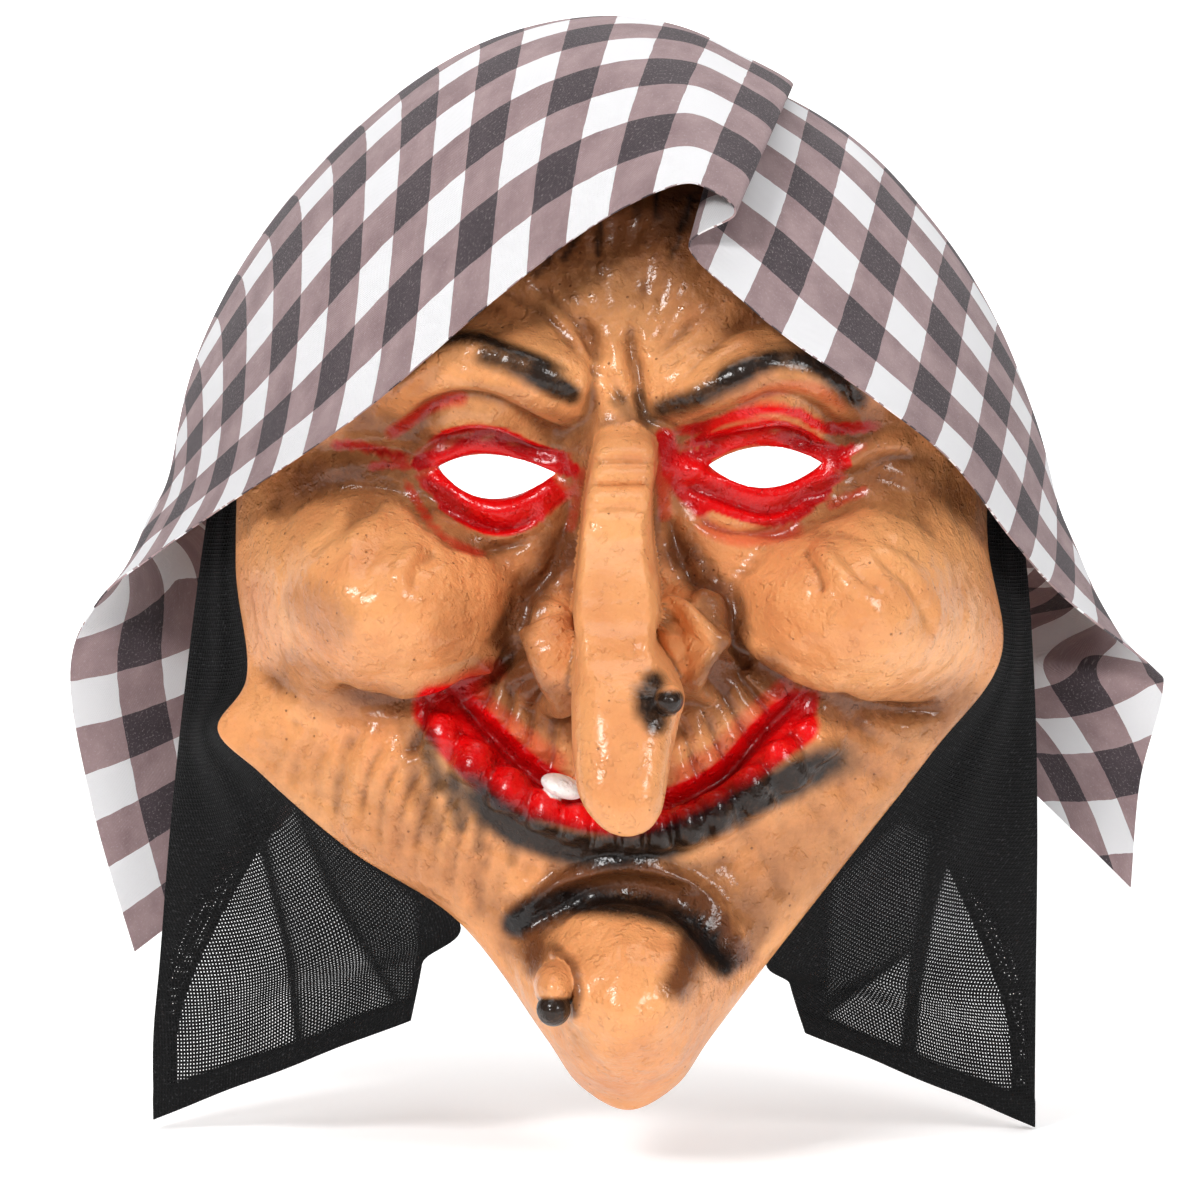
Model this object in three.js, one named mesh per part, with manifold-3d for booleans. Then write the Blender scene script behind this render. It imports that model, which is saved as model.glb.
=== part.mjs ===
// Witch carnival mask: a moulded hollow face, a checked head scarf and two black net side drapes.
// Millimetres, +Z up, the face looks along -Y and +X is to the right of someone looking at it.
// The origin lies midway between the eye holes, at the inside of the bridge of the nose.

import * as THREE from "three";
import { mergeVertices } from "three/addons/utils/BufferGeometryUtils.js";
import Module from "manifold-3d";

const wasm = await Module();
wasm.setup();

// Walls and gaps
const FACE_WALL = 2;
const CLOTH_WALL = 1;
const GAP = 0.6;

// The flat rim at the back of the face: its depth at eye level, and how far back it leans for each
// millimetre up
const RIM_AT_EYES = 35;
const RIM_LEAN = 0.3;

// Colours and finishes
const SKIN = { color: "#d99a6c", roughness: 0.4, metalness: 0 };
const CHECKED_CLOTH = { color: "#b79a9c", roughness: 0.9, metalness: 0 };
const BLACK_NET = { color: "#1b1a1c", roughness: 0.85, metalness: 0 };

// How finely each surface is divided
const SPOKES_PER_POINT = 3;
const FACE_RINGS = 16;
const RING_CROWDING = 1.4;
const SLOPE_STEP = 0.03;
const EVENING = 4.5;
const NOSE_SIDES = 14;
const NOSE_ROWS = 12;
const NOSE_HOLLOW_ROWS = 7;
const BUMP_SIDES = 8;
const BUMP_ROWS = 5;
const SCARF_COLUMNS_PER_ROW = 2;
const SCARF_ROWS = 11;
const DRAPE_ROWS = 12;
const DRAPE_FRONT = 10;
const DRAPE_REAR = 5;
const HALVINGS = 30;

// Outline of the face from the front, from the chin tip up the right side and down the left side
const FACE_OUTLINE = [
  { at: "chin tip", x: 0, z: -159 },
  { at: "chin right", x: 20, z: -142 },
  { at: "jaw right", x: 50, z: -105 },
  { at: "jaw corner right", x: 77, z: -72 },
  { at: "cheek right", x: 95, z: -48 },
  { at: "ear right", x: 92, z: -20 },
  { at: "temple right", x: 91, z: 25 },
  { at: "forehead right", x: 70, z: 66 },
  { at: "hairline right", x: 37, z: 90 },
  { at: "crown", x: -3, z: 104 },
  { at: "hairline left", x: -42, z: 93 },
  { at: "forehead left", x: -74, z: 70 },
  { at: "temple left", x: -96, z: 25 },
  { at: "ear left", x: -100, z: -24 },
  { at: "cheek left", x: -97, z: -54 },
  { at: "flap left", x: -104, z: -66 },
  { at: "jaw corner left", x: -93, z: -77 },
  { at: "jaw left", x: -70, z: -96 },
  { at: "chin corner left", x: -43, z: -113 },
  { at: "chin left", x: -20, z: -142 },
];
const FACE_CENTRE = { x: 0, z: -34 };

// How far forward the middle of the face lies at each height, before its features
const FACE_DEPTH = [
  { z: 107, y: 36 },
  { z: 80, y: 10 },
  { z: 55, y: -4 },
  { z: 30, y: -11 },
  { z: 0, y: -9 },
  { z: -40, y: -8 },
  { z: -75, y: -11 },
  { z: -100, y: -15 },
  { z: -130, y: -20 },
  { z: -159, y: -22 },
];
const FACE_CURVE_RADIUS = 240;
const EDGE_ROLL = 34;

// Rounded swellings of the face: centre, radii and the turn of the long axis in degrees
const SWELLINGS = [
  { at: "cheek left", x: -60, y: 4, z: -33, rx: 38, ry: 36, rz: 31, turn: -8 },
  { at: "cheek right", x: 57, y: 4, z: -33, rx: 37, ry: 36, rz: 30, turn: 8 },
  { at: "brow left", x: -32, y: -6, z: 23, rx: 38, ry: 15, rz: 16, turn: -6 },
  { at: "brow right", x: 31, y: -6, z: 21, rx: 37, ry: 15, rz: 16, turn: 10 },
  { at: "nostril left", x: -18, y: -8, z: -45, rx: 14, ry: 21, rz: 17, turn: 10 },
  { at: "nostril right", x: 15, y: -8, z: -43, rx: 14, ry: 21, rz: 17, turn: -10 },
  { at: "bridge", x: -1, y: -4, z: 4, rx: 16, ry: 17, rz: 18, turn: 0 },
  { at: "chin", x: 1, y: -14, z: -130, rx: 34, ry: 32, rz: 31, turn: 0 },
];
const SWELLING_POWER = 2.1;
const SWELLING_BLEND = 8;

// The lower lip is a roll that follows a bow
const LIP = { lowest: -90, bow: 0.0098, halfWidth: 8, height: 8, reach: 58 };

// Hollows of the two eyes
const EYE_SOCKET = { x: 33, z: -1, rx: 19, rz: 9, depth: 9 };

// Eye holes: the inner and outer corners and the control points of the two lids
const EYE_HOLES = [
  { at: "left", innerX: -18, innerZ: -0.5, outerX: -47.5, outerZ: 1, lidX: -36, topZ: 8, bottomZ: -14 },
  { at: "right", innerX: 20, innerZ: 1.5, outerX: 48.5, outerZ: 2, lidX: 34, topZ: 10.5, bottomZ: -10 },
];
const EYE_CUT_DEPTH = 120;
const EYE_STEPS = 8;

// Nose: level sections from the bridge to the hooked tip
const NOSE = [
  { z: 12, x: -1, front: -18, back: 0, halfWidth: 6 },
  { z: 4, x: -1, front: -27, back: 0, halfWidth: 9 },
  { z: -12, x: -2, front: -37, back: 0, halfWidth: 10 },
  { z: -30, x: -2, front: -51, back: 0, halfWidth: 11 },
  { z: -46, x: -1, front: -63, back: -4, halfWidth: 11.5 },
  { z: -60, x: 0, front: -71, back: -30, halfWidth: 13 },
  { z: -72, x: 0, front: -75, back: -48, halfWidth: 11.5 },
  { z: -80, x: 0, front: -74, back: -58, halfWidth: 9 },
  { z: -86, x: 0, front: -70, back: -63, halfWidth: 4.5 },
];
const NOSE_SQUARENESS = 3;
// The hollow of the nose stops short of the tip and runs back into the face
const NOSE_HOLLOW = { top: 2, bottom: -72, back: 8, wall: 2.4 };

// Warts and tooth: centre and radii
const BUMPS = [
  { at: "nose wart", x: 9, y: -66, z: -57, rx: 4, ry: 4.5, rz: 4 },
  { at: "chin wart", x: -17.5, y: -30, z: -130, rx: 5.5, ry: 7, rz: 6.5 },
  { at: "chin wart tip", x: -18.5, y: -36, z: -134, rx: 4, ry: 4, rz: 4.3 },
  { at: "tooth", x: -15, y: -14, z: -78.5, rx: 7.5, ry: 7, rz: 3.2 },
];

// Scarf: a row for each section from the tip of the left tail, over the crown, to the tip of the
// right tail. Front edge, back edge, and how far out the cloth stands halfway between them, as a
// share of the head form.
const HEAD_FORM = { x: 0, y: 60, z: 0, rx: 113, ry: 98, rz: 111, fullness: 1.8 };
const SCARF = [
  { frontX: -129, frontY: 62, frontZ: -129, backX: -92, backY: 118, backZ: -92, stand: 1.55 },
  { frontX: -140, frontY: 66, frontZ: -92, backX: -96, backY: 125, backZ: -60, stand: 1.44 },
  { frontX: -146, frontY: 68, frontZ: -56, backX: -97, backY: 132, backZ: -30, stand: 1.36 },
  { frontX: -137, frontY: 55, frontZ: -36, backX: -95, backY: 138, backZ: -8, stand: 1.25 },
  { frontX: -121, frontY: 34, frontZ: -23, backX: -88, backY: 143, backZ: 5, stand: 1.14 },
  { frontX: -104, frontY: 12, frontZ: -11, backX: -78, backY: 147, backZ: 13, stand: 1.06 },
  { frontX: -66, frontY: -22, frontZ: 15, backX: -58, backY: 150, backZ: 20, stand: 1.03 },
  { frontX: -33, frontY: -24, frontZ: 43, backX: -38, backY: 152, backZ: 23, stand: 1.025 },
  { frontX: -9, frontY: -18, frontZ: 61, backX: -20, backY: 153, backZ: 25, stand: 1.05 },
  { frontX: 11, frontY: -16, frontZ: 71, backX: -4, backY: 154, backZ: 25, stand: 1.02 },
  { frontX: 20, frontY: -19, frontZ: 70, backX: 6, backY: 155, backZ: 26, stand: 0.985 },
  { frontX: 26, frontY: -22, frontZ: 64, backX: 14, backY: 156, backZ: 26, stand: 0.97 },
  { frontX: 15, frontY: -13, frontZ: 56, backX: 8, backY: 151, backZ: 25, stand: 0.95 },
  { frontX: 29, frontY: -21, frontZ: 42, backX: 18, backY: 151, backZ: 25, stand: 0.945 },
  { frontX: 40, frontY: -24, frontZ: 33, backX: 32, backY: 151, backZ: 24, stand: 0.93 },
  { frontX: 60, frontY: -22, frontZ: 19, backX: 50, backY: 150, backZ: 20, stand: 0.93 },
  { frontX: 80, frontY: -8, frontZ: 3, backX: 66, backY: 147, backZ: 14, stand: 0.95 },
  { frontX: 97, frontY: 12, frontZ: -18, backX: 80, backY: 143, backZ: 6, stand: 1.01 },
  { frontX: 112, frontY: 34, frontZ: -34, backX: 90, backY: 138, backZ: -8, stand: 1.13 },
  { frontX: 137, frontY: 62, frontZ: -54, backX: 98, backY: 132, backZ: -30, stand: 1.27 },
  { frontX: 141, frontY: 72, frontZ: -62, backX: 100, backY: 128, backZ: -45, stand: 1.34 },
  { frontX: 135, frontY: 70, frontZ: -85, backX: 98, backY: 122, backZ: -65, stand: 1.38 },
  { frontX: 132, frontY: 62, frontZ: -112, backX: 94, backY: 116, backZ: -82, stand: 1.45 },
];

// Drapes: a row for each height. The first rows are sewn to the rim of the face, where only the
// height is free; the later ones hang clear. Inner edge, outer fold, and the width of the layer that
// is folded back behind the first.
const DRAPES = [
  {
    name: "drape_left",
    side: -1,
    rows: [
      { innerZ: 18, sewn: 1, innerX: -97, innerY: 41, outerX: -103, outerY: 45, outerZ: 18, rear: 30 },
      { innerZ: -20, sewn: 1, innerX: -99, innerY: 30, outerX: -109, outerY: 42, outerZ: -20, rear: 36 },
      { innerZ: -55, sewn: 1, innerX: -97, innerY: 19, outerX: -114, outerY: 42, outerZ: -58, rear: 40 },
      { innerZ: -85, sewn: 1, innerX: -83, innerY: 10, outerX: -118, outerY: 43, outerZ: -94, rear: 30 },
      { innerZ: -109, sewn: 1, innerX: -50, innerY: 3, outerX: -121, outerY: 45, outerZ: -128, rear: 12 },
      { innerZ: -125, sewn: 0, innerX: -52, innerY: 8, outerX: -123, outerY: 46, outerZ: -150, rear: 6 },
      { innerZ: -140, sewn: 0, innerX: -55, innerY: 12, outerX: -123, outerY: 47, outerZ: -171, rear: 6 },
    ],
  },
  {
    name: "drape_right",
    side: 1,
    rows: [
      { innerZ: 18, sewn: 1, innerX: 90, innerY: 41, outerX: 95, outerY: 45, outerZ: 18, rear: 30 },
      { innerZ: -20, sewn: 1, innerX: 91, innerY: 30, outerX: 102, outerY: 42, outerZ: -20, rear: 36 },
      { innerZ: -55, sewn: 1, innerX: 91, innerY: 19, outerX: 105, outerY: 42, outerZ: -58, rear: 40 },
      { innerZ: -85, sewn: 1, innerX: 66, innerY: 10, outerX: 106, outerY: 43, outerZ: -94, rear: 30 },
      { innerZ: -118, sewn: 1, innerX: 39, innerY: 1, outerX: 106, outerY: 45, outerZ: -132, rear: 12 },
      { innerZ: -130, sewn: 0, innerX: 41, innerY: 6, outerX: 106, outerY: 46, outerZ: -153, rear: 6 },
      { innerZ: -143, sewn: 0, innerX: 45, innerY: 11, outerX: 106, outerY: 47, outerZ: -173, rear: 6 },
    ],
  },
];
const DRAPE_FOLDS = { count: 2, depth: 4, atTop: 0.2 };
const DRAPE_TURN_RADIUS = 3;

// Cubic through the rows of a table: the named column at a row number that may have a fraction
function along(rows, column, position) {
  const last = rows.length - 1;
  const row = Math.min(Math.max(Math.floor(position), 0), last - 1);
  const t = position - row;
  const value = (index) => rows[Math.min(Math.max(index, 0), last)][column];
  const before = (value(row + 1) - value(row - 1)) / 2;
  const after = (value(row + 2) - value(row)) / 2;
  const rise = value(row + 1) - value(row);
  return value(row) + t * (before + t * (3 * rise - 2 * before - after + t * (before + after - 2 * rise)));
}

// Row number, with its fraction, at which a falling column reaches a value
function rowAt(rows, key, value) {
  for (let row = 0; row < rows.length - 1; row += 1) {
    if (value >= rows[row + 1][key]) {
      return row + Math.max(0, (rows[row][key] - value) / (rows[row][key] - rows[row + 1][key]));
    }
  }
  return rows.length - 1;
}

const outlineCurve = new THREE.CatmullRomCurve3(
  FACE_OUTLINE.map((row) => new THREE.Vector3(row.x, 0, row.z)), true, "centripetal",
);
const FACE_SPOKES = SPOKES_PER_POINT * FACE_OUTLINE.length;

const rimDepth = (z) => RIM_AT_EYES + RIM_LEAN * z;

// Lower of two heights with a rounded join
function blend(a, b, radius) {
  const h = Math.max(radius - Math.abs(a - b), 0) / radius;
  return Math.min(a, b) - (h * h * radius) / 4;
}

// Front of a rounded hill, falling away ever more steeply from its middle
function swellingFront(s, x, z) {
  const turn = THREE.MathUtils.degToRad(s.turn);
  const dx = x - s.x;
  const dz = z - s.z;
  const lengthways = (dx * Math.cos(turn) + dz * Math.sin(turn)) / s.rx;
  const across = (dz * Math.cos(turn) - dx * Math.sin(turn)) / s.rz;
  return s.y - s.ry * (1 - Math.pow(Math.hypot(lengthways, across), SWELLING_POWER));
}

// Front of the face with its swellings, lip and eye hollows
function featureFront(x, z) {
  let front = along(FACE_DEPTH, "y", rowAt(FACE_DEPTH, "z", z)) + (x * x) / (2 * FACE_CURVE_RADIUS);
  for (const s of SWELLINGS) {
    front = blend(front, swellingFront(s, x, z), SWELLING_BLEND);
  }
  const lipOffset = (z - LIP.lowest - LIP.bow * x * x) / LIP.halfWidth;
  front -= LIP.height * Math.exp(-lipOffset * lipOffset) * Math.max(0, 1 - (x / LIP.reach) ** 4);
  for (const side of [-1, 1]) {
    const u = (x - side * EYE_SOCKET.x) / EYE_SOCKET.rx;
    const w = (z - EYE_SOCKET.z) / EYE_SOCKET.rz;
    front += EYE_SOCKET.depth * Math.exp(-u * u - w * w);
  }
  return front;
}

// The same, evened out over the distance between neighbouring points
function evenFront(x, z) {
  let sum = 0;
  for (const dx of [-EVENING, 0, EVENING]) {
    for (const dz of [-EVENING, 0, EVENING]) {
      sum += featureFront(x + dx, z + dz) / 9;
    }
  }
  return sum;
}

// Outer face point on a spoke of the outline; ring runs from 0 in the middle to 1 at the rim
function facePoint(edge, ring) {
  const x = THREE.MathUtils.lerp(FACE_CENTRE.x, edge.x, ring);
  const z = THREE.MathUtils.lerp(FACE_CENTRE.z, edge.z, ring);
  const rim = rimDepth(z);
  const fromEdge = (1 - ring) * Math.hypot(edge.x - FACE_CENTRE.x, edge.z - FACE_CENTRE.z);
  const dome = Math.sqrt(1 - (1 - Math.min(fromEdge / EDGE_ROLL, 1)) ** 2);
  return new THREE.Vector3(x, rim + (evenFront(x, z) - rim) * dome, z);
}

// Face point moved inwards, square to the surface; the rim stays on its plane
function offsetFacePoint(spoke, ring, inset) {
  const at = (s, r) => facePoint(outlineCurve.getPoint((s + 1) % 1), r);
  const outward = at(spoke, Math.min(ring + SLOPE_STEP, 1)).sub(at(spoke, ring - SLOPE_STEP));
  const round = at(spoke + SLOPE_STEP / 2, ring).sub(at(spoke - SLOPE_STEP / 2, ring));
  const normal = new THREE.Vector3().crossVectors(outward, round).normalize();
  const point = at(spoke, ring).addScaledVector(normal, -inset);
  if (ring === 1) {
    point.y = rimDepth(point.z);
  }
  return point;
}

// A solid from vertices and triangles
function solidFrom(points, triangles) {
  const vertProperties = new Float32Array(points.flatMap((p) => [p.x, p.y, p.z]));
  return new wasm.Manifold(
    new wasm.Mesh({ numProp: 3, vertProperties, triVerts: new Uint32Array(triangles) }),
  );
}

// A solid from a closed three.js geometry
function solidOf(geometry) {
  const bare = geometry.index ? geometry.toNonIndexed() : geometry;
  bare.deleteAttribute("normal");
  bare.deleteAttribute("uv");
  const merged = mergeVertices(bare);
  return new wasm.Manifold(
    new wasm.Mesh({
      numProp: 3,
      vertProperties: new Float32Array(merged.attributes.position.array),
      triVerts: new Uint32Array(merged.index.array),
    }),
  );
}

// Hollow face: an outer and an inner surface that meet at the rim
function faceWall() {
  const points = [];
  const triangles = [];
  const rings = [];
  for (let r = 1; r <= FACE_RINGS; r += 1) {
    rings.push(1 - Math.pow(1 - r / FACE_RINGS, RING_CROWDING));
  }
  for (const inset of [0, FACE_WALL]) {
    points.push(facePoint(FACE_OUTLINE[0], 0).add(new THREE.Vector3(0, inset, 0)));
    for (const ring of rings) {
      for (let s = 0; s < FACE_SPOKES; s += 1) {
        points.push(offsetFacePoint(s / FACE_SPOKES, ring, inset));
      }
    }
  }
  const layer = 1 + FACE_RINGS * FACE_SPOKES;
  const index = (side, ring, s) => side * layer + 1 + ring * FACE_SPOKES + (s % FACE_SPOKES);
  const quad = (a, b, c, d) => triangles.push(a, b, c, a, c, d);
  for (let s = 0; s < FACE_SPOKES; s += 1) {
    triangles.push(0, index(0, 0, s), index(0, 0, s + 1));
    triangles.push(layer, index(1, 0, s + 1), index(1, 0, s));
    for (let r = 0; r < FACE_RINGS - 1; r += 1) {
      quad(index(0, r, s), index(0, r + 1, s), index(0, r + 1, s + 1), index(0, r, s + 1));
      quad(index(1, r, s), index(1, r, s + 1), index(1, r + 1, s + 1), index(1, r + 1, s));
    }
    const last = FACE_RINGS - 1;
    quad(index(0, last, s), index(1, last, s), index(1, last, s + 1), index(0, last, s + 1));
  }
  return solidFrom(points, triangles);
}

// Loft through level rounded sections, closed at both ends
function noseLoft(top, bottom, rows, sectionAt) {
  const points = [];
  const triangles = [];
  for (let r = 0; r <= rows; r += 1) {
    const z = THREE.MathUtils.lerp(top, bottom, r / rows);
    const section = sectionAt(z);
    for (let s = 0; s < NOSE_SIDES; s += 1) {
      const angle = (s / NOSE_SIDES) * 2 * Math.PI;
      const round = (value) => Math.sign(value) * Math.pow(Math.abs(value), 2 / NOSE_SQUARENESS);
      const middle = (section.front + section.back) / 2;
      const x = section.x + section.halfWidth * round(Math.cos(angle));
      const y = middle + (section.back - middle) * round(Math.sin(angle));
      points.push(new THREE.Vector3(x, y, z));
    }
  }
  const index = (r, s) => r * NOSE_SIDES + (s % NOSE_SIDES);
  for (let s = 0; s < NOSE_SIDES; s += 1) {
    for (let r = 0; r < rows; r += 1) {
      triangles.push(index(r, s), index(r + 1, s), index(r + 1, s + 1));
      triangles.push(index(r, s), index(r + 1, s + 1), index(r, s + 1));
    }
    if (s > 0 && s < NOSE_SIDES - 1) {
      triangles.push(index(0, 0), index(0, s), index(0, s + 1));
      triangles.push(index(rows, 0), index(rows, s + 1), index(rows, s));
    }
  }
  return solidFrom(points, triangles);
}

function noseSection(z) {
  const row = rowAt(NOSE, "z", z);
  return {
    x: along(NOSE, "x", row),
    front: along(NOSE, "front", row),
    back: along(NOSE, "back", row),
    halfWidth: along(NOSE, "halfWidth", row),
  };
}

function noseHollowSection(z) {
  const section = noseSection(z);
  const free = section.back < -NOSE_HOLLOW.wall * 2;
  return {
    x: section.x,
    front: section.front + NOSE_HOLLOW.wall,
    back: free ? section.back - NOSE_HOLLOW.wall : NOSE_HOLLOW.back,
    halfWidth: section.halfWidth - NOSE_HOLLOW.wall,
  };
}

function ellipsoid(row) {
  const ball = new THREE.SphereGeometry(1, BUMP_SIDES, BUMP_ROWS);
  ball.scale(row.rx, row.ry, row.rz);
  ball.translate(row.x, row.y, row.z);
  return solidOf(ball);
}

// Lens-shaped cutter that runs straight through the wall
function eyeCutter(eye) {
  const lens = new THREE.Shape();
  lens.moveTo(eye.innerX, eye.innerZ);
  lens.quadraticCurveTo(eye.lidX, eye.topZ, eye.outerX, eye.outerZ);
  lens.quadraticCurveTo(eye.lidX, eye.bottomZ, eye.innerX, eye.innerZ);
  const cutter = new THREE.ExtrudeGeometry(lens, {
    depth: EYE_CUT_DEPTH, bevelEnabled: false, curveSegments: EYE_STEPS,
  });
  cutter.rotateX(Math.PI / 2);
  cutter.translate(0, EYE_CUT_DEPTH / 2, 0);
  return solidOf(cutter);
}

function faceShell() {
  let face = faceWall().add(noseLoft(NOSE[0].z, NOSE[NOSE.length - 1].z, NOSE_ROWS, noseSection));
  for (const bump of BUMPS) {
    face = face.add(ellipsoid(bump));
  }
  face = face.subtract(noseLoft(NOSE_HOLLOW.top, NOSE_HOLLOW.bottom, NOSE_HOLLOW_ROWS, noseHollowSection));
  for (const eye of EYE_HOLES) {
    face = face.subtract(eyeCutter(eye));
  }
  return face;
}

// Closed cloth wall around a grid of points, half the thickness to each side
function clothWall(grid, thickness) {
  const rows = grid.length;
  const columns = grid[0].length;
  const points = [];
  const triangles = [];
  const clamp = (value, top) => Math.min(Math.max(value, 0), top);
  for (const side of [1, -1]) {
    for (let r = 0; r < rows; r += 1) {
      for (let c = 0; c < columns; c += 1) {
        const at = (row, column) => grid[clamp(row, rows - 1)][clamp(column, columns - 1)];
        const acrossRow = at(r, c + 1).clone().sub(at(r, c - 1));
        const downRows = at(r + 1, c).clone().sub(at(r - 1, c));
        const normal = new THREE.Vector3().crossVectors(acrossRow, downRows).normalize();
        points.push(grid[r][c].clone().addScaledVector(normal, (side * thickness) / 2));
      }
    }
  }
  const index = (side, r, c) => side * rows * columns + r * columns + c;
  const quad = (a, b, c, d) => triangles.push(a, b, c, a, c, d);
  for (let r = 0; r < rows - 1; r += 1) {
    for (let c = 0; c < columns - 1; c += 1) {
      quad(index(0, r, c), index(0, r, c + 1), index(0, r + 1, c + 1), index(0, r + 1, c));
      quad(index(1, r, c), index(1, r + 1, c), index(1, r + 1, c + 1), index(1, r, c + 1));
    }
    const end = columns - 1;
    quad(index(0, r, 0), index(0, r + 1, 0), index(1, r + 1, 0), index(1, r, 0));
    quad(index(0, r + 1, end), index(0, r, end), index(1, r, end), index(1, r + 1, end));
  }
  for (let c = 0; c < columns - 1; c += 1) {
    const end = rows - 1;
    quad(index(0, 0, c + 1), index(0, 0, c), index(1, 0, c), index(1, 0, c + 1));
    quad(index(0, end, c), index(0, end, c + 1), index(1, end, c + 1), index(1, end, c));
  }
  return solidFrom(points, triangles);
}

// Distance from the middle of the head form to its surface along a direction
function headReach(direction) {
  const { rx, ry, rz, fullness } = HEAD_FORM;
  const share = (value, radius) => Math.pow(Math.abs(value) / radius, fullness);
  const sum = share(direction.x, rx) + share(direction.y, ry) + share(direction.z, rz);
  return Math.pow(sum, -1 / fullness);
}

// Scarf point: column from the left tail to the right tail, row from the front edge to the back edge
function scarfPoint(column, row) {
  const position = column * (SCARF.length - 1);
  const centre = new THREE.Vector3(HEAD_FORM.x, HEAD_FORM.y, HEAD_FORM.z);
  const read = (end) => new THREE.Vector3(
    along(SCARF, `${end}X`, position), along(SCARF, `${end}Y`, position), along(SCARF, `${end}Z`, position),
  ).sub(centre);
  const front = read("front");
  const back = read("back");
  const frontWay = front.clone().normalize();
  const backWay = back.clone().normalize();
  const angle = frontWay.angleTo(backWay);
  const way = frontWay.clone().multiplyScalar(Math.sin((1 - row) * angle) / Math.sin(angle));
  way.addScaledVector(backWay, Math.sin(row * angle) / Math.sin(angle)).normalize();
  const frontShare = front.length() / headReach(frontWay);
  const backShare = back.length() / headReach(backWay);
  const stand = along(SCARF, "stand", position) - (frontShare + backShare) / 2;
  const share = THREE.MathUtils.lerp(frontShare, backShare, row) + 4 * row * (1 - row) * stand;
  return way.multiplyScalar(headReach(way) * share).add(centre);
}

function headScarf() {
  const grid = [];
  const columns = SCARF_COLUMNS_PER_ROW * (SCARF.length - 1);
  for (let r = 0; r <= SCARF_ROWS; r += 1) {
    const row = [];
    for (let c = 0; c <= columns; c += 1) {
      row.push(scarfPoint(c / columns, r / SCARF_ROWS));
    }
    grid.push(row);
  }
  return clothWall(grid, CLOTH_WALL);
}

// Rim of the face at a height, on one side, found by halving
function rimPoint(side, z) {
  let low = 0;
  let high = 0.5;
  const at = (share) => outlineCurve.getPoint(side > 0 ? share : 1 - share);
  for (let step = 0; step < HALVINGS; step += 1) {
    const middle = (low + high) / 2;
    if (at(middle).z < z) {
      low = middle;
    } else {
      high = middle;
    }
  }
  return new THREE.Vector3(at(low).x, rimDepth(z), z);
}

function sideDrape(drape) {
  const grid = [];
  for (let r = 0; r <= DRAPE_ROWS; r += 1) {
    const position = (r / DRAPE_ROWS) * (drape.rows.length - 1);
    const read = (column) => along(drape.rows, column, position);
    const innerZ = read("innerZ");
    const sewn = THREE.MathUtils.clamp(read("sewn"), 0, 1);
    const rim = rimPoint(drape.side, innerZ);
    rim.x -= (drape.side * FACE_WALL) / 2;
    rim.y += GAP + CLOTH_WALL / 2;
    const free = new THREE.Vector3(read("innerX"), read("innerY"), innerZ);
    const inner = free.lerp(rim, sewn);
    const outer = new THREE.Vector3(read("outerX"), read("outerY"), read("outerZ"));
    const row = [];
    for (let c = 0; c <= DRAPE_FRONT; c += 1) {
      const share = c / DRAPE_FRONT;
      const fade = Math.sin(Math.PI * share) * Math.min(1, r / DRAPE_ROWS + DRAPE_FOLDS.atTop);
      const point = inner.clone().lerp(outer, share);
      point.y += DRAPE_FOLDS.depth * fade * (1 - Math.cos(2 * Math.PI * DRAPE_FOLDS.count * share));
      row.push(point);
    }
    for (let c = 1; c <= DRAPE_REAR; c += 1) {
      const share = c / DRAPE_REAR;
      const point = outer.clone();
      point.x -= drape.side * read("rear") * share * share;
      point.y += 2 * DRAPE_TURN_RADIUS * Math.sqrt(share);
      row.push(point);
    }
    grid.push(drape.side > 0 ? row : row.reverse());
  }
  return clothWall(grid, CLOTH_WALL);
}

function meshOf(name, solid, look) {
  const { vertProperties, triVerts } = solid.getMesh();
  const geometry = new THREE.BufferGeometry();
  geometry.setAttribute("position", new THREE.BufferAttribute(new Float32Array(vertProperties), 3));
  geometry.setIndex(new THREE.BufferAttribute(new Uint32Array(triVerts), 1));
  geometry.computeVertexNormals();
  const material = new THREE.MeshStandardMaterial(look);
  const mesh = new THREE.Mesh(geometry, material);
  mesh.name = name;
  return mesh;
}

const mask = new THREE.Group();
mask.name = "witch_mask";
mask.add(meshOf("face_shell", faceShell(), SKIN));
mask.add(meshOf("head_scarf", headScarf(), CHECKED_CLOTH));
for (const drape of DRAPES) {
  mask.add(meshOf(drape.name, sideDrape(drape), BLACK_NET));
}
export default mask;
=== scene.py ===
# Looks of the witch carnival mask: a painted vinyl face, a checked head scarf and two net drapes.
# Tables are in millimetres. The face looks along -Y, +Z is up and +X is to the onlooker's right.

import math

import bpy
import numpy as np
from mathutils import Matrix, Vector, kdtree, noise


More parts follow.
